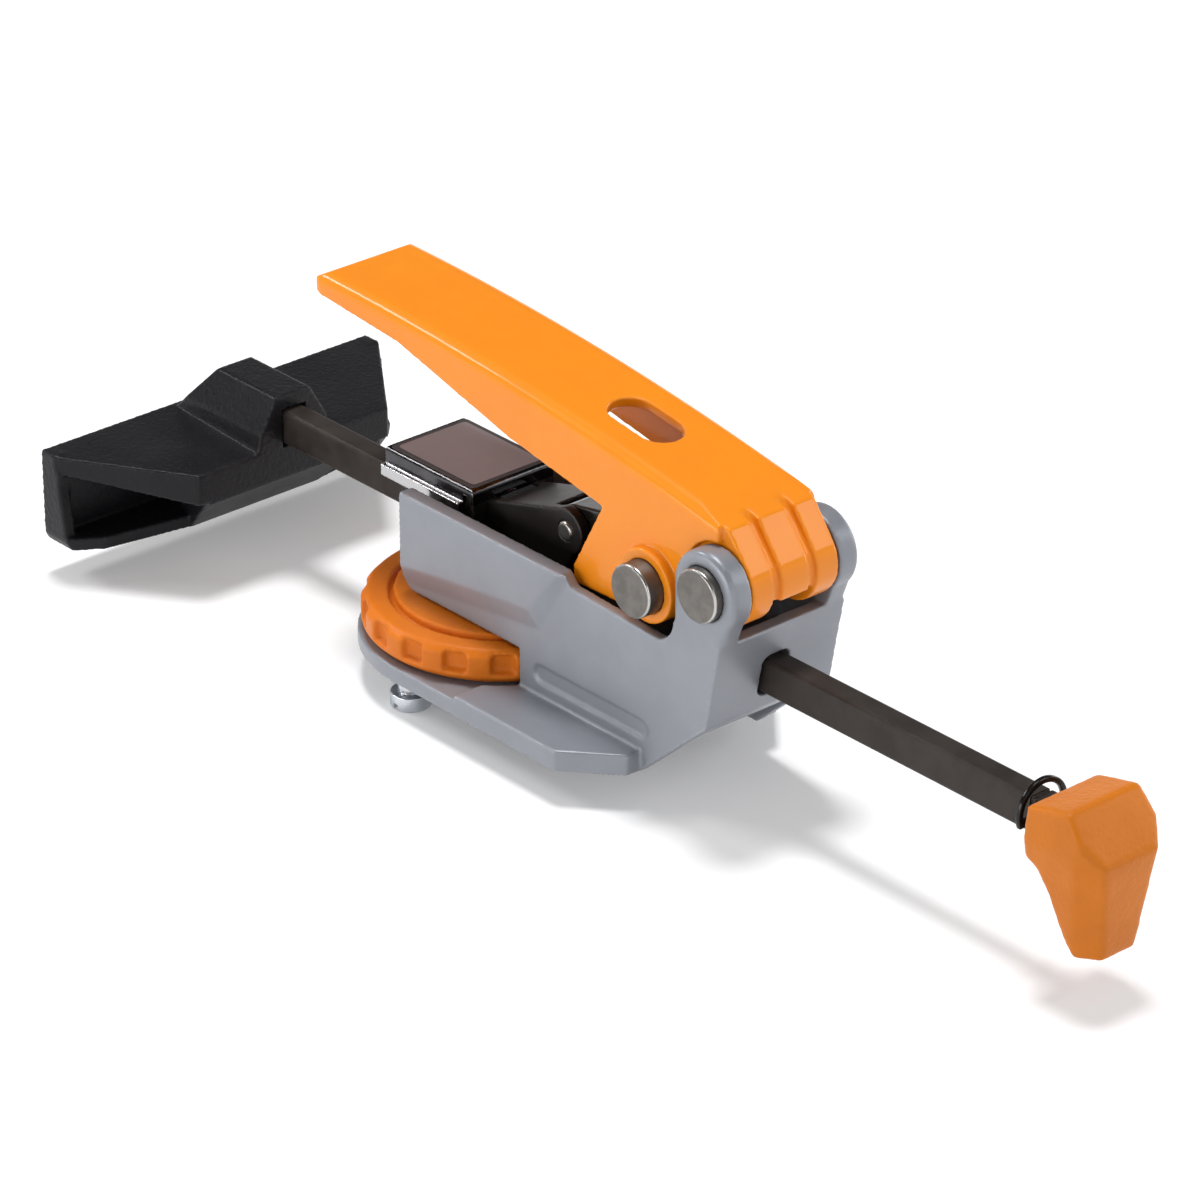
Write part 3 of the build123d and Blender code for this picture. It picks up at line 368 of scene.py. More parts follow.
FINISHES = {
    "cast_body": Finish(
        "cast_silver_paint", colour=(0.272, 0.287, 0.319), patch_colour=(0.247, 0.260, 0.292),
        wear_and_highlight_colour=(0.56, 0.58, 0.61), roughness=0.38, patch_roughness=0.45, worn_roughness=0.30,
        metallic=0.35, worn_metallic=0.5, grain_scale=1600.0, grain_depth=0.000030, wear_share=0.35,
        wear_radius=0.0011, coat=0.10, coat_roughness=0.25, specular=0.35),
    "lever_paint": Finish(
        "lever_orange_gloss", colour=(0.875, 0.264, 0.006), patch_colour=(0.850, 0.246, 0.005),
        wear_and_highlight_colour=(0.97, 0.36, 0.03), roughness=0.38, patch_roughness=0.44, worn_roughness=0.30,
        grain_scale=240.0, grain_depth=0.000010, coarse=0.8, wear_share=0.12, coat=0.40, specular=0.2),
    "wheel_plastic": Finish(
        "orange_moulded", colour=(0.69, 0.180, 0.012), patch_colour=(0.63, 0.155, 0.010),
        wear_and_highlight_colour=(0.80, 0.27, 0.04), roughness=0.36, patch_roughness=0.44, worn_roughness=0.32,
        grain_scale=1300.0, grain_depth=0.00008, coarse=0.9, patch_scale=60.0, wear_share=0.30,
        specular=0.18),
    # The knob wears the wheel's orange plastic painted darker, a painted shade, as both are one plastic.
    "knob_plastic_shaded": Finish(
        "knob_orange_painted_shade", colour=(0.60, 0.170, 0.008), patch_colour=(0.55, 0.150, 0.007),
        wear_and_highlight_colour=(0.78, 0.29, 0.045), roughness=0.36, patch_roughness=0.44, worn_roughness=0.32,
        grain_scale=1300.0, grain_depth=0.00010, coarse=0.9, patch_scale=60.0, wear_share=0.40,
        wear_radius=0.0011, specular=0.22),
    "foot_plastic": Finish(
        "black_moulded", colour=(0.0075, 0.0075, 0.009), patch_colour=(0.0105, 0.0105, 0.0125),
        wear_and_highlight_colour=(0.07, 0.07, 0.08), roughness=0.36, patch_roughness=0.42, worn_roughness=0.34,
        grain_scale=1500.0, grain_depth=0.00010, coarse=0.9, wear_share=0.5, wear_radius=0.0009,
        wear_scale=800.0, specular=0.2),
    "rod_black": Finish(
        "rod_black_oxide", colour=(0.034, 0.028, 0.025), patch_colour=(0.050, 0.041, 0.036),
        wear_and_highlight_colour=(0.15, 0.13, 0.115), roughness=0.40, patch_roughness=0.50, worn_roughness=0.30,
        metallic=0.35, worn_metallic=0.8, grain_depth=0.000016, patch_scale=110.0,
        wear_share=0.7, wear_scale=500.0, specular=0.15),
    "yoke_black": Finish(
        "yoke_black_paint", colour=(0.018, 0.015, 0.014), patch_colour=(0.026, 0.022, 0.020),
        wear_and_highlight_colour=(0.10, 0.085, 0.07), roughness=0.34, patch_roughness=0.44, worn_roughness=0.30,
        metallic=0.25, worn_metallic=0.7, grain_scale=700.0, grain_depth=0.00002, wear_share=0.5,
        specular=0.4),
    "link_black": Finish(
        "link_black_gloss", colour=(0.010, 0.009, 0.008), patch_colour=(0.016, 0.014, 0.012),
        wear_and_highlight_colour=(0.09, 0.075, 0.065), roughness=0.20, patch_roughness=0.30, worn_roughness=0.22,
        metallic=0.2, worn_metallic=0.6, grain_scale=500.0, grain_depth=0.000014, wear_share=0.4, coat=0.3),
    "pin_steel": Finish(
        "pin_satin_steel", colour=(0.178, 0.168, 0.156), patch_colour=(0.137, 0.129, 0.119),
        wear_and_highlight_colour=(0.78, 0.77, 0.74), roughness=0.36, patch_roughness=0.50, worn_roughness=0.16,
        metallic=0.95, worn_metallic=1.0, grain_scale=2200.0, grain_depth=0.00002, patch_scale=230.0,
        wear_share=1.0, wear_spread=0.9, wear_radius=0.0005),
    "zinc_steel": Finish(
        "zinc_plate", colour=(0.62, 0.64, 0.67), patch_colour=(0.50, 0.53, 0.57),
        wear_and_highlight_colour=(0.88, 0.89, 0.91), roughness=0.24, patch_roughness=0.34, worn_roughness=0.16,
        metallic=1.0, worn_metallic=1.0, grain_scale=1200.0, grain_depth=0.00001, patch_scale=220.0),
    "spring_black": Finish(
        "spring_steel_black", colour=(0.012, 0.012, 0.012), patch_colour=(0.018, 0.017, 0.016),
        wear_and_highlight_colour=(0.34, 0.33, 0.32), roughness=0.18, patch_roughness=0.26, worn_roughness=0.16,
        metallic=0.6, worn_metallic=0.95, grain_depth=0.000005, wear_share=0.6, wear_radius=0.0004),
    # The cover's chrome is painted: its dark colour stands for dark reflections, and its bright edges and lip
    # for bright ones (painted reflections).
    "cover_chrome": Finish(
        "cover_chrome_painted_reflections", colour=(0.060, 0.059, 0.062), patch_colour=(0.095, 0.092, 0.096),
        wear_and_highlight_colour=(0.92, 0.92, 0.93), roughness=0.16, patch_roughness=0.26, worn_roughness=0.08,
        metallic=1.0, worn_metallic=1.0, grain_scale=1100.0, grain_depth=0.000045, coarse=0.9,
        wear_share=1.0, wear_radius=0.0004, wear_spread=0.7, patch_scale=140.0),
    "label_dark": Finish(
        "label_dark_border", colour=(0.060, 0.058, 0.062), patch_colour=(0.075, 0.072, 0.078),
        wear_and_highlight_colour=(0.12, 0.12, 0.12), roughness=0.42, patch_roughness=0.48, worn_roughness=0.40,
        grain_depth=0.000004, wear_share=0.0),
    "label_grey": Finish(
        "label_grey_field", colour=(0.295, 0.262, 0.275), patch_colour=(0.270, 0.240, 0.252),
        wear_and_highlight_colour=(0.40, 0.37, 0.38), roughness=0.44, patch_roughness=0.50, worn_roughness=0.40,
        grain_depth=0.000004, wear_share=0.0),
    "brass_insert": Finish(
        "turned_brass", colour=(0.58, 0.42, 0.18), patch_colour=(0.48, 0.33, 0.13),
        wear_and_highlight_colour=(0.75, 0.60, 0.30), roughness=0.26, patch_roughness=0.38, worn_roughness=0.20,
        metallic=1.0, worn_metallic=1.0, grain_depth=0.00001),
}


class Shop:
    """Turns meshes into finished pieces of the clamp."""

    SMOOTH_FACTOR = 0.5

    def __init__(self) -> None:
        """Builds every finish once."""
        effects = Effects()
        self.materials = {slot: finish.material(effects) for slot, finish in FINISHES.items()}

    @staticmethod
    def linked(name: str, mesh: bmesh.types.BMesh) -> bpy.types.Object:
        """Makes an object from a bmesh as it is.

        Args:
            name: the object's name.
            mesh: the bmesh, freed here.

        Returns:
            The new object, linked to the scene.
        """
        data = bpy.data.meshes.new(name)
        mesh.to_mesh(data)
        mesh.free()
        made = bpy.data.objects.new(name, data)
        bpy.context.scene.collection.objects.link(made)
        return made

    @staticmethod
    def object_from(name: str, mesh: bmesh.types.BMesh) -> bpy.types.Object:
        """Makes an object from a bmesh, with its doubles merged and its faces turned outwards.

        Args:
            name: the object's name.
            mesh: the bmesh, freed here.

        Returns:
            The new object, linked to the scene.
        """
        bmesh.ops.remove_doubles(mesh, verts=mesh.verts, dist=MADE_WELD)
        bmesh.ops.recalc_face_normals(mesh, faces=mesh.faces)
        return Shop.linked(name, mesh)

    @staticmethod
    def welded(name: str, node: str, flatten: bool = False) -> bpy.types.Object:
        """Copies a node's solid with its triangles merged.

        Args:
            name: the copy's name.
            node: the node to copy.
            flatten: whether triangles in one plane become one face.

        Returns:
            The copy.
        """
        mesh = bmesh.new()
        mesh.from_mesh(frame["nodes"][node].data)
        bmesh.ops.remove_doubles(mesh, verts=mesh.verts, dist=NODE_WELD)
        if flatten:
            bmesh.ops.dissolve_limit(mesh, angle_limit=FLAT_ANGLE, verts=mesh.verts, edges=mesh.edges,
                                     delimit=set())
        return Shop.linked(name, mesh)

    @staticmethod
    def turned(name: str, outline: list[Pair], centre: Point) -> bpy.types.Object:
        """Turns a half section round an axis along Y.

        Args:
            name: the piece's name.
            outline: pairs of radius and place along the axis.
            centre: a point on the axis.

        Returns:
            The turned piece.
        """
        mesh = bmesh.new()
        points = [mesh.verts.new((centre[0] + radius, centre[1] + along, centre[2]))
                  for radius, along in outline]
        lines = [mesh.edges.new(pair) for pair in zip(points, points[1:])]
        bmesh.ops.spin(mesh, geom=points + lines, cent=centre, axis=(0.0, 1.0, 0.0),
                       angle=math.tau, steps=TURN_STEPS, use_merge=True)
        return Shop.object_from(name, mesh)

    @staticmethod
    def settle(piece: bpy.types.Object) -> None:
        """Applies the modifiers of a piece to its mesh."""
        graph = bpy.context.evaluated_depsgraph_get()
        solid = bpy.data.meshes.new_from_object(piece.evaluated_get(graph))
        piece.modifiers.clear()
        old = piece.data
        piece.data = solid
        bpy.data.meshes.remove(old)

    def soften(self, piece: bpy.types.Object, voxel: float, passes: int, keep: float = 1.0) -> None:
        """Rounds every edge of a solid as a moulding's or casting's are.

        The remesh works on a tilted copy, so that no edge lies along its grid.

        Args:
            piece: the solid.
            voxel: size of the remesh.
            passes: rounds of smoothing.
            keep: share of the faces that stays, flats being thinned first.
        """
        piece.data.transform(TILT)
        remesh = piece.modifiers.new("skin", "REMESH")
        remesh.mode = "VOXEL"
        remesh.voxel_size = voxel
        smooth = piece.modifiers.new("flow", "SMOOTH")
        smooth.factor = self.SMOOTH_FACTOR
        smooth.iterations = passes
        if keep < 1.0:
            thin = piece.modifiers.new("thin", "DECIMATE")
            thin.ratio = keep
        self.settle(piece)
        piece.data.transform(TILT.inverted())

    @staticmethod
    def bevel(piece: bpy.types.Object, width: float, segments: int = 3, angle: float = 28.0) -> None:
        """Adds a live bevel and weighted normals.

        Args:
            piece: the piece.
            width: bevel width.
            segments: steps round the edge.
            angle: smallest edge angle that is bevelled, in degrees.
        """
        edge = piece.modifiers.new("edge", "BEVEL")
        edge.width = width
        edge.segments = segments
        edge.limit_method = "ANGLE"
        edge.angle_limit = math.radians(angle)
        normals = piece.modifiers.new("normals", "WEIGHTED_NORMAL")
        normals.keep_sharp = True

    @staticmethod
    def paint_highlight(piece: bpy.types.Object, share: Callable[[Vector], float]) -> None:
        """Marks where a piece gets a painted highlight, a bright colour standing for light caught there.

        Args:
            piece: the piece.
            share: gives 0 to 1 for a place on it.
        """
        marks = piece.data.attributes.new(HIGHLIGHT_ATTRIBUTE, "FLOAT", "POINT")
        for vertex, mark in zip(piece.data.vertices, marks.data):
            mark.value = share(vertex.co)

    def finish(self, piece: bpy.types.Object, body: Body, slot: str, *nodes: str,
               paint: str | None = None, smooth: bool = True) -> None:
        """Gives a piece its finish, its body and the nodes that it stands for.

        Args:
            piece: the piece.
            body: what it rides on.
            slot: the record's material slot.
            nodes: the nodes that it replaces.
            paint: the finish, where it isn't the slot's own.
            smooth: whether its faces are shaded smooth.
        """
        piece.data.materials.clear()
        piece.data.materials.append(self.materials[paint or slot])
        for face in piece.data.polygons:
            face.use_smooth = smooth
        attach(piece, body.value)
        if nodes:
            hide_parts(*nodes)
        LOG.info("%s rides on %s", piece.name, body.value)

    def machined(self, name: str, node: str, edge: float, body: Body, slot: str) -> None:
        """Finishes a node's solid with small bevels on its sharp edges.

        Args:
            name: the piece's name.
            node: the node that it stands for.
            edge: bevel width.
            body: what it rides on.
            slot: the record's material slot.
        """
        piece = self.welded(name, node, flatten=True)
        self.bevel(piece, edge)
        self.finish(piece, body, slot, node)

    def dress_node(self, node: str, slot: str) -> None:
        """Gives a node that stays its finish.

        Args:
            node: the node.
            slot: the material slot.
        """
        data = frame["nodes"][node].data
        data.materials.clear()
        data.materials.append(self.materials[slot])
        LOG.info("%s keeps its solid", node)


class Blank:
    """A block of stock, given by its side view, that flat cuts shape."""

    def __init__(self, outline: list[Pair], half: float) -> None:
        """Makes the block.

        Args:
            outline: its corners in the X-Z view, in millimetres.
            half: half its width along Y, in millimetres.
        """
        self.mesh = bmesh.new()
        face = self.mesh.faces.new([self.mesh.verts.new((x, -half, z)) for x, z in outline])
        pushed = bmesh.ops.extrude_face_region(self.mesh, geom=[face])["geom"]
        moved = [item for item in pushed if isinstance(item, bmesh.types.BMVert)]
        bmesh.ops.translate(self.mesh, verts=moved, vec=(0.0, 2 * half, 0.0))
        self.middle = sum((vertex.co for vertex in self.mesh.verts), Vector()) / len(self.mesh.verts)

    def cut(self, first: Point, second: Point, third: Point, away: Point | None = None) -> None:
        """Cuts off what lies beyond the plane through three points.

        Args:
            first: a point of the plane.
            second: another point.
            third: another point.
            away: a point on the side that goes, where that isn't the side away from the middle.
        """
        a, b, c = Vector(first), Vector(second), Vector(third)
        normal = (b - a).cross(c - a)
        if away is None:
            inward = normal.dot(self.middle - a) > 0
        else:
            inward = normal.dot(Vector(away) - a) < 0
        if inward:
            normal.negate()
        whole = self.mesh.verts[:] + self.mesh.edges[:] + self.mesh.faces[:]
        made = bmesh.ops.bisect_plane(self.mesh, geom=whole, plane_co=a, plane_no=normal,
                                      clear_outer=True)
        rim = [item for item in made["geom_cut"] if isinstance(item, bmesh.types.BMEdge)]
        if rim:
            bmesh.ops.edgeloop_fill(self.mesh, edges=rim)

    def cut_both(self, first: Point, second: Point, third: Point) -> None:
        """Makes the same cut on the near and the far side."""
        self.cut(first, second, third)
        self.cut(*((x, -y, z) for x, y, z in (first, second, third)))

    def piece(self, name: str) -> bpy.types.Object:
        """Turns the block into an object in metres.

        Args:
            name: the object's name.

        Returns:
            The object.
        """
        bmesh.ops.recalc_face_normals(self.mesh, faces=self.mesh.faces)
        bmesh.ops.scale(self.mesh, verts=self.mesh.verts, vec=(MM, MM, MM))
        return Shop.object_from(name, self.mesh)

    @staticmethod
    def joined(name: str, blanks: list["Blank"]) -> bpy.types.Object:
        """Puts several blocks into one object, whose remesh then fuses them.

        Args:
            name: the object's name.
            blanks: the blocks.

        Returns:
            The object.
        """
        whole = bmesh.new()
        for count, blank in enumerate(blanks):
            lone = blank.piece(f"{name}_{count}")
            whole.from_mesh(lone.data)
            bpy.data.objects.remove(lone)
        return Shop.linked(name, whole)


@dataclass
class Casting:
    """The die-cast body with softly rounded edges, and the studs under it."""

    voxel: float = 0.00036
    passes: int = 16
    keep: float = 0.2
    stud_edge: float = 0.0003

    def build(self, shop: Shop) -> None:
        """Rounds the body's solid and paints it, and dresses the studs.

        Args:
            shop: makes and finishes the pieces.
        """
        body = shop.welded("body_casting", "clamp_body")
        shop.soften(body, self.voxel, self.passes, self.keep)
        shop.finish(body, Body.BASE, "cast_body", "clamp_body")
        shop.machined("slotted_studs", "guide_studs", self.stud_edge, Body.BASE, "zinc_steel")


@dataclass
class HandLever:
    """The painted lever."""

    voxel: float = 0.00032
    passes: int = 14
    keep: float = 0.24

    def build(self, shop: Shop) -> None:
        """Rounds the lever's solid and paints it.

        Args:
            shop: makes and finishes the pieces.
        """
        lever = shop.welded("lever_handle", "lever")
        shop.soften(lever, self.voxel, self.passes, self.keep)
        shop.finish(lever, Body.LEVER, "lever_paint", "lever")


@dataclass
class HeadlessPins:
    """The two large pins and the rivet of the toggle, turned with rounded rims that carry a painted
    highlight.
    """

    rim: float = 0.0007
    rim_steps: int = 5
    rivet_rim: float = 0.0009
    rim_painted_highlight: float = 0.55
    shine_across: float = 0.6
    shine_along: float = 0.9
    dish: float = 0.00012

    def _pin(self, name: str, node: str, rim: float) -> bpy.types.Object:
        """Turns one pin to a node's box.

        Args:
            name: the piece's name.
            node: the node that gives its place and size.
            rim: radius of its rounded rims.

        Returns:
            The pin.
        """
        low, high = (Vector(corner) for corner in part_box(node))
        centre = (low + high) / 2
        radius, half = (high.x - low.x) / 2, (high.y - low.y) / 2
        corner = [math.radians(90.0 * step / self.rim_steps) for step in range(self.rim_steps + 1)]
        end = [(0.0, half - self.dish), (radius - 2 * rim, half - self.dish)]
        end += [(radius - rim + rim * math.sin(turn), half - rim + rim * math.cos(turn)) for turn in corner]
        outline = end + [(across, -along) for across, along in reversed(end)]
        pin = Shop.turned(name, outline, tuple(centre))

        def wear_and_highlight(place: Vector) -> float:
            """Painted highlight on the outer part of the rounded rim, none on the flat face and the shank."""
            across = math.hypot(place.x - centre.x, place.z - centre.z)
            deep = half - abs(place.y)
            on_rim = across > radius - rim * self.shine_across and deep < rim * self.shine_along
            return self.rim_painted_highlight if on_rim else 0.0

        Shop.paint_highlight(pin, wear_and_highlight)
        return pin

    def build(self, shop: Shop) -> None:
        """Turns the pins and the rivet.

        Args:
            shop: makes and finishes the pieces.
        """
        rows = (
            ("pivot_pin_turned", "pivot_pin", Body.BASE, self.rim),
            ("link_pin_turned", "link_pin", Body.LEVER, self.rim),
            ("toggle_rivet", "toggle_pin", Body.CARRIAGE, self.rivet_rim),
        )
        for name, node, body, rim in rows:
            shop.finish(self._pin(name, node, rim), body, "pin_steel", node)


@dataclass
class RearKnob:
    """The faceted knob: slanted crown, chamfered rear corners and a finger tab.

    Its places and sizes are in millimetres, apart from the voxel.
    """

    voxel: float = 0.00044
    passes: int = 48
    front: float = 187.2
    top: float = 36.4
    front_low: float = 23.8
    crest: Pair = (199.9, 39.4)
    tail: Pair = (209.0, 28.2)
    heel: Pair = (206.2, 3.0)
    toe: float = 200.1
    toe_drop: float = 0.6
    throat: tuple[Pair, ...] = ((3.2, 8.2), (6.4, 17.0), (9.4, 22.2))
    shoulder: float = 3.0
    half: float = 12.0
    top_half: float = 11.2
    face_half: float = 8.4
    corner: float = 6.2
    taper: float = 3.4

    def build(self, shop: Shop) -> None:
        """Cuts the knob from a block and rounds it.

        Args:
            shop: makes and finishes the pieces.
        """
        rear_x, rear_z = self.tail
        heel_x, heel_z = self.heel
        side = [(self.front, self.top), self.crest, self.tail, self.heel, (self.toe, heel_z - self.toe_drop)]
        side += [(self.toe - ahead, height) for ahead, height in self.throat]
        side.append((self.front, self.front_low))
        knob = Blank(side, self.half)
        knob.cut_both((self.front, -self.top_half, self.top), (self.crest[0], -self.top_half, self.crest[1]),
                      (self.crest[0], -self.half, rear_z + self.shoulder))
        knob.cut_both((self.front, -self.half, rear_z), (rear_x, -self.half, rear_z),
                      (rear_x, self.taper - self.half, heel_z))
        knob.cut_both((rear_x, -self.face_half, rear_z), (rear_x - self.corner, -self.half, rear_z),
                      (heel_x, self.taper - self.face_half, heel_z))
        piece = knob.piece("knob_moulding")
        shop.soften(piece, self.voxel, self.passes)
        # The knob takes the darker, shaded copy of the wheel's orange (painted shade).
        shop.finish(piece, Body.ROD, "wheel_plastic", "rear_knob", paint="knob_plastic_shaded")


@dataclass
class PushFoot:
    """The wide foot: front plate, undercut rear, a pocket in each wing and a hub for the rod.

    Its places and sizes are in millimetres, apart from the voxel and the slot for the rod.
    """

    voxel: float = 0.00042
    passes: int = 8
    keep: float = 0.55
    front: float = -114.9
    rear: float = -79.3
    top: float = 25.1
    rear_top: float = 23.6
    low: float = 0.35
    half: float = 51.9
    end_wall: float = 5.4
    end_thick: float = 3.2
    end_foot: float = 9.6
    front_lean: float = 1.6
    front_drop: float = 1.0
    corner: float = 1.1
    rear_half: float = 30.0
    core_rear_half: float = 26.8
    heel_x: float = -96.0
    heel: Pair = (-82.4, 13.4)
    rear_low: float = 14.6
    roof: Pair = (4.8, 8.4)
    floor: float = 3.4
    floor_knee: Pair = (-100.2, -44.0)
    floor_rear: Pair = (-96.0, -20.5)
    core_front_half: float = 14.0
    hub_front: float = -112.8
    hub_slope: float = 9.8
    hub_low: float = 16.5
    hub_top: float = 37.2
    hub_half: float = 14.6
    hub_shoulder: float = 21.0
    hub_waist: Pair = (10.4, 28.4)
    hub_crown_half: float = 8.6
    slot_gap: float = 0.0006
    slot_reach: float = 0.03

    def _side(self) -> list[Pair]:
        """Side view of the whole foot, with the slanted underside of its rear."""
        return [(self.front, self.low), (self.heel_x, self.low), self.heel, (self.rear, self.rear_low),
                (self.rear, self.rear_top), (self.front, self.top)]

    def _roof(self) -> Blank:
        """The top plate, which thickens towards the rear.

        Returns:
            The plate.
        """
        plate = Blank(self._side(), self.half)
        end = self.front + self.end_wall
        plate.cut_both((end, -self.half, 0.0), (end, -self.half, self.top), (self.rear, -self.rear_half, 0.0))
        plate.cut((end, 0.0, self.top - self.roof[0]), (end, 1.0, self.top - self.roof[0]),
                  (self.rear, 0.0, self.rear_top - self.roof[1]), away=(end, 0.0, self.low))
        return plate

    def _floor(self) -> Blank:
        """The bottom plate, narrower than the top one.

        Returns:
            The plate.
        """
        plate = Blank(self._side(), self.half)
        corner, knee, rear = (self.front + self.end_foot, -self.half), self.floor_knee, self.floor_rear
        for start, stop in ((corner, knee), (knee, rear)):
            plate.cut_both((*start, 0.0), (*start, self.top), (*stop, 0.0))
        level = self.low + self.floor
        plate.cut((0.0, 0.0, level), (1.0, 0.0, level), (0.0, 1.0, level), away=(0.0, 0.0, self.top))
        return plate

    def _front(self) -> list[Blank]:
        """The front plate and the wall at each end.

        Returns:
            The three blocks.
        """
        end = self.front + self.end_wall
        plate = Blank([(self.front, self.low), (end, self.low),
                       (end + self.front_lean, self.top - self.roof[0]),
                       (self.front, self.top - self.front_drop)], self.half)
        parts = [plate]
        for side in (-1.0, 1.0):
            wall = Blank([(self.front, self.low), (self.front + self.end_foot, self.low),
                          (end, self.top), (self.front, self.top)], self.half)
            inner = side * (self.half - self.end_thick)
            wall.cut((0.0, inner, 0.0), (1.0, inner, 0.0), (0.0, inner, 1.0), away=(0.0, 0.0, 0.0))
            parts.append(wall)
        return parts

    def _core(self) -> list[Blank]:
        """The middle block and the hub on it.

        Returns:
            Both blocks.
        """
        core = Blank(self._side(), self.rear_half)
        core.cut_both((self.rear, -self.core_rear_half, self.rear_low), (*self.floor_rear, self.low),
                      (self.front, -self.core_front_half, self.rear_low))
        hub = Blank([(self.hub_front, self.hub_low), (self.rear, self.hub_low), (self.rear, self.hub_top),
                     (self.hub_front + self.hub_slope, self.hub_top), (self.hub_front, self.top)],
                    self.hub_half)
        waist_half, waist_z = self.hub_waist
        hub.cut_both((0.0, -self.hub_crown_half, self.hub_top), (1.0, -self.hub_crown_half, self.hub_top),
                     (0.0, -waist_half, waist_z))
        hub.cut_both((0.0, -waist_half, waist_z), (1.0, -waist_half, waist_z),
                     (0.0, -self.hub_half, self.hub_shoulder))
        return [core, hub]

    def build(self, shop: Shop) -> None:
        """Joins the blocks, rounds them, cuts the rod's slot and finishes the foot.

        Args:
            shop: makes and finishes the pieces.
        """
        blocks = [self._roof(), self._floor(), *self._front(), *self._core()]
        rim = self.low + 2 * self.corner
        for block in blocks:
            block.cut_both((0.0, -self.half, rim), (1.0, -self.half, rim),
                           (0.0, self.corner - self.half, self.low))
        foot = Blank.joined("foot_moulding", blocks)
        shop.soften(foot, self.voxel, self.passes, self.keep)
        low, high = (Vector(corner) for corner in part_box("push_rod"))
        slot = bmesh.new()
        bmesh.ops.create_cube(slot, size=1.0)
        room = 2 * self.slot_gap
        size = Vector((self.slot_reach, high.y - low.y + room, high.z - low.z + room))
        bmesh.ops.scale(slot, verts=slot.verts, vec=size)
        bmesh.ops.translate(slot, verts=slot.verts, vec=(self.rear * MM, 0.0, (low.z + high.z) / 2))
        tool = Shop.object_from("rod_slot_tool", slot)
        cut = foot.modifiers.new("slot", "BOOLEAN")
        cut.object = tool
        cut.operation = "DIFFERENCE"
        shop.settle(foot)
        bpy.data.objects.remove(tool)
        shop.finish(foot, Body.ROD, "foot_plastic", "push_foot")


@dataclass
class RodTrain:
    """The push rod and its snap ring."""

    rod_edge: float = 0.00025
    ring_edge: float = 0.00035

    def build(self, shop: Shop) -> None:
        """Dresses the bar and the ring.

        Args:
            shop: makes and finishes the pieces.
        """
        shop.machined("rod_bar", "push_rod", self.rod_edge, Body.ROD, "rod_black")
        shop.machined("snap_ring", "retaining_ring", self.ring_edge, Body.ROD, "spring_black")


@dataclass
class ThumbWheel:
    """The finger wheel with its insert and the track bolt."""

    voxel: float = 0.00045
    passes: int = 8
    insert_edge: float = 0.0003
    bolt_edge: float = 0.0004

    def build(self, shop: Shop) -> None:
        """Dresses the wheel, its insert and the bolt.

        Args:
            shop: makes and finishes the pieces.
        """
        wheel = shop.welded("wheel_moulding", "thumb_wheel")
        shop.soften(wheel, self.voxel, self.passes)
        shop.finish(wheel, Body.WHEEL, "wheel_plastic", "thumb_wheel")
        shop.machined("insert_turning", "wheel_insert", self.insert_edge, Body.WHEEL, "brass_insert")
        shop.machined("bolt_forging", "track_bolt", self.bolt_edge, Body.BOLT, "zinc_steel")


@dataclass
class Drive:
    """The yoke with its cover and label plate, the link, jam plate and screw."""

    yoke_voxel: float = 0.00034
    yoke_passes: int = 6
    link_voxel: float = 0.0003
    link_passes: int = 16
    cover_voxel: float = 0.00022
    cover_passes: int = 5
    plate_edge: float = 0.0002
    screw_edge: float = 0.0002
    band_drop: float = 0.0039
    lip_painted_highlight: float = 0.50
    lip_reach: float = 0.0015
    label_inset: float = 0.0009
    label_thick: float = 0.00012
    label_corner: float = 0.0012
    label_corner_steps: int = 6
    field_inset: float = 0.0022
    field_layers: float = 1.7

    def build(self, shop: Shop) -> None:
        """Dresses every piece of the drive.

        Args:
            shop: makes and finishes the pieces.
        """
        yoke = shop.welded("yoke_forging", "drive_yoke")
        shop.soften(yoke, self.yoke_voxel, self.yoke_passes)
        shop.finish(yoke, Body.CARRIAGE, "yoke_black", "drive_yoke")
        link = shop.welded("link_forging", "toggle_link")
        shop.soften(link, self.link_voxel, self.link_passes)
        shop.finish(link, Body.LINK, "link_black", "toggle_link")
        cover = shop.welded("cover_sheet", "drive_cover")
        shop.soften(cover, self.cover_voxel, self.cover_passes)
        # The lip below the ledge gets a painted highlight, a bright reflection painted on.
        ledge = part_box("drive_cover")[1][2] - self.band_drop
        shop.paint_highlight(cover, lambda place: self.lip_painted_highlight if place.z < ledge else 0.0)
        shop.finish(cover, Body.CARRIAGE, "cover_chrome", "drive_cover")
        shop.machined("jam_plate_ground", "jam_plate", self.plate_edge, Body.CARRIAGE, "spring_black")
        shop.machined("screw_turning", "force_screw", self.screw_edge, Body.SCREW, "zinc_steel")
        self._label(shop)

    def _label(self, shop: Shop) -> None:
        """Lays a bare two-tone plate on the cover.

        Args:
            shop: makes and finishes the pieces.
        """
        low, high = (Vector(corner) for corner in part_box("drive_cover"))
        half = high.y - self.lip_reach
        rows = (("label_border", "label_dark", self.label_inset, 1.0),
                ("label_field", "label_grey", self.field_inset, self.field_layers))
        for name, paint, inset, layers in rows:
            mesh = bmesh.new()
            bmesh.ops.create_cube(mesh, size=1.0)
            size = Vector((high.x - low.x - 2 * inset, 2 * (half - inset), layers * self.label_thick))
            middle = Vector(((low.x + high.x) / 2, 0.0, high.z + size.z / 2))
            bmesh.ops.scale(mesh, verts=mesh.verts, vec=size)
            bmesh.ops.translate(mesh, verts=mesh.verts, vec=middle)
            posts = [edge for edge in mesh.edges
                     if abs(edge.verts[0].co.z - edge.verts[1].co.z) > size.z / 2]
            bmesh.ops.bevel(mesh, geom=posts, offset=self.label_corner, affect="EDGES", profile=0.5,
                            segments=self.label_corner_steps, material=-1)
            plate = Shop.object_from(name, mesh)
            shop.finish(plate, Body.CARRIAGE, "cover_chrome", paint=paint, smooth=False)


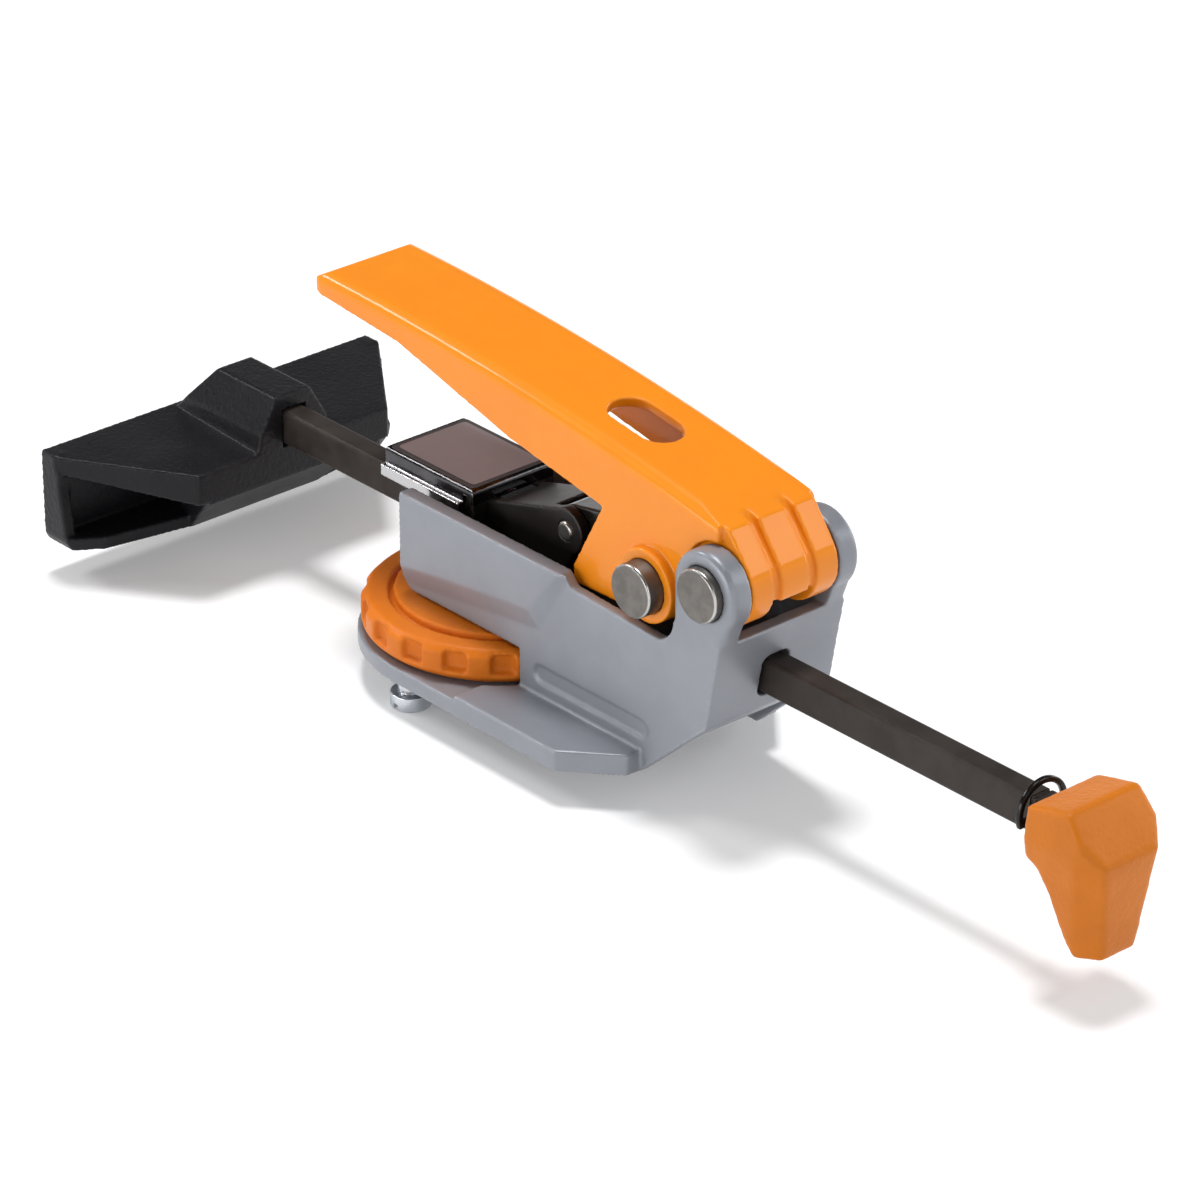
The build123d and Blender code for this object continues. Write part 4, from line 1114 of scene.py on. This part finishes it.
@dataclass(frozen=True)
class SoftBox:
    """A rectangular lamp that faces the clamp: its place from the camera's target, size and power."""

    name: str
    place: Point
    wide: float
    tall: float
    watts: float


SOFT_BOXES = (
    SoftBox("left_box", (-0.20, -1.3, 0.22), wide=1.2, tall=0.4, watts=6.5),
    SoftBox("front_box", (1.25, -0.35, 0.40), wide=0.5, tall=0.5, watts=2.0),
    SoftBox("edge_box", (-0.85, -0.45, 0.75), wide=0.5, tall=0.14, watts=4.0),
    SoftBox("crown_box", (0.75, 0.60, 0.60), wide=0.4, tall=0.4, watts=2.0),
    SoftBox("far_box", (0.20, 1.3, 0.25), wide=1.2, tall=0.4, watts=5.0),
)


@dataclass
class Studio:
    """Floor, lights and camera."""

    azimuth: float = 48.66
    elevation: float = 27.24
    distance: float = 1.35525
    target: Point = (0.03562, 0.0, 0.02377)
    lens: float = 172.8
    sensor: float = 36.0
    sight: float = 50.0
    floor_half: float = 6.0
    floor_gap: float = 0.0001
    floor_colour: Colour = (0.86, 0.86, 0.865)
    floor_glow: float = 0.15
    ceiling_height: float = 2.0
    ceiling_radius: float = 9.0
    ceiling_sides: int = 64
    ceiling_level: float = 0.05
    dome_level: float = 0.27
    sun_place: Point = (-0.20, 0.12, 1.2)
    sun_energy: float = 2.1
    sun_angle: float = 14.0

    def build(self) -> None:
        """Builds the whole studio."""
        self._floor()
        self._ceiling()
        self._world()
        self._lamps()
        self._camera()
        view = bpy.context.scene.view_settings
        view.view_transform = "Standard"

    @staticmethod
    def _bare_paint(thing: bpy.types.Object, name: str) -> tuple[Sheet, bpy.types.NodeSocket]:
        """Gives a thing of the studio a material with nothing in it.

        Args:
            thing: the floor or the ceiling.
            name: the material's name.

        Returns:
            The material's sheet, and the input for its surface.
        """
        paint = bpy.data.materials.new(name)
        paint.use_nodes = True
        tree = paint.node_tree
        tree.nodes.remove(tree.nodes["Principled BSDF"])
        thing.data.materials.append(paint)
        return Sheet(tree), tree.nodes["Material Output"].inputs["Surface"]

    @staticmethod
    def _shown_white(sheet: Sheet) -> bpy.types.NodeSocket:
        """Finds the rays that see the plain white background.

        Args:
            sheet: where the nodes go.

        Returns:
            The mask of those rays.
        """
        path = sheet.add("ShaderNodeLightPath")
        seen = sheet.maths("MAXIMUM", path.outputs["Is Camera Ray"], path.outputs["Is Glossy Ray"])
        return sheet.maths("MAXIMUM", seen, path.outputs["Is Transmission Ray"])

    def _floor(self) -> None:
        """Lays a white floor that keeps the shadow."""
        mesh = bmesh.new()
        bmesh.ops.create_grid(mesh, x_segments=1, y_segments=1, size=self.floor_half)
        bmesh.ops.translate(mesh, verts=mesh.verts, vec=(0.0, 0.0, CAD_BOX[0][2] - self.floor_gap))
        floor = Shop.object_from("studio_floor", mesh)
        sheet, surface = self._bare_paint(floor, "floor_white")
        matt = sheet.add("ShaderNodeBsdfDiffuse")
        matt.inputs["Color"].default_value = (*self.floor_colour, 1.0)
        glow = sheet.add("ShaderNodeEmission")
        strength = sheet.maths("MULTIPLY", self._shown_white(sheet), self.floor_glow)
        sheet.join(strength, glow.inputs["Strength"])
        both = sheet.add("ShaderNodeAddShader")
        sheet.join(matt.outputs[0], both.inputs[0])
        sheet.join(glow.outputs[0], both.inputs[1])
        sheet.join(both.outputs[0], surface)

    def _ceiling(self) -> None:
        """Hangs a grey ceiling that only reflections see."""
        mesh = bmesh.new()
        bmesh.ops.create_circle(mesh, cap_ends=True, segments=self.ceiling_sides,
                                radius=self.ceiling_radius)
        bmesh.ops.translate(mesh, verts=mesh.verts, vec=(0.0, 0.0, self.ceiling_height))
        ceiling = Shop.object_from("studio_ceiling", mesh)
        sheet, surface = self._bare_paint(ceiling, "ceiling_grey")
        glow = sheet.add("ShaderNodeEmission")
        glow.inputs["Strength"].default_value = self.ceiling_level
        sheet.join(glow.outputs[0], surface)
        ceiling.visible_camera = False
        ceiling.visible_diffuse = False
        ceiling.visible_shadow = False

    def _world(self) -> None:
        """Sets a plain dome of light that shows as white."""
        world = bpy.data.worlds.new("plain_room")
        bpy.context.scene.world = world
        world.use_nodes = True
        sheet = Sheet(world.node_tree)
        dome = world.node_tree.nodes["Background"]
        dome.inputs["Color"].default_value = (1.0, 1.0, 1.0, 1.0)
        white = self._shown_white(sheet)
        sheet.join(sheet.ramp(white, 0.0, 1.0, self.dome_level, 1.0), dome.inputs["Strength"])

    @staticmethod
    def _aim(thing: bpy.types.Object, place: Vector, target: Vector) -> None:
        """Puts a lamp or camera at a place, facing a target."""
        thing.location = place
        thing.rotation_euler = (target - place).to_track_quat("-Z", "Y").to_euler()

    def _lamps(self) -> None:
        """Hangs the overhead lamp, which throws the shadow, and the soft boxes."""
        middle = Vector(self.target)
        sun = bpy.data.lights.new("overhead", "SUN")
        sun.energy = self.sun_energy
        sun.angle = math.radians(self.sun_angle)
        lamps = [(sun, self.sun_place)]
        for box in SOFT_BOXES:
            light = bpy.data.lights.new(box.name, "AREA")
            light.shape = "RECTANGLE"
            light.size = box.wide
            light.size_y = box.tall
            light.energy = box.watts
            lamps.append((light, box.place))
        for light, place in lamps:
            lamp = bpy.data.objects.new(light.name, light)
            self._aim(lamp, middle + Vector(place), middle)
            bpy.context.scene.collection.objects.link(lamp)

    def _camera(self) -> None:
        """Sets the camera at the photograph's view."""
        turn, rise = math.radians(self.azimuth), math.radians(self.elevation)
        away = Vector((math.sin(turn) * math.cos(rise), -math.cos(turn) * math.cos(rise), math.sin(rise)))
        lens = bpy.data.cameras.new("view")
        lens.lens = self.lens
        lens.sensor_width = self.sensor
        lens.clip_end = self.sight
        camera = bpy.data.objects.new("view", lens)
        middle = Vector(self.target)
        self._aim(camera, middle + away * self.distance, middle)
        bpy.context.scene.collection.objects.link(camera)
        bpy.context.scene.camera = camera


def main() -> None:
    """Builds and dresses every piece in order."""
    logging.basicConfig(level=logging.INFO)
    Studio().build()
    shop = Shop()
    for assembly in (Casting(), HandLever(), HeadlessPins(), PushFoot(), RearKnob(), RodTrain(),
                     ThumbWheel(), Drive()):
        assembly.build(shop)
    slots = {part["node"]: part["material_slot"] for part in frame["record"]["subparts"]}
    for node, slot in slots.items():
        if not frame["nodes"][node].hide_render:
            shop.dress_node(node, slot)


if __name__ == "__main__":
    main()
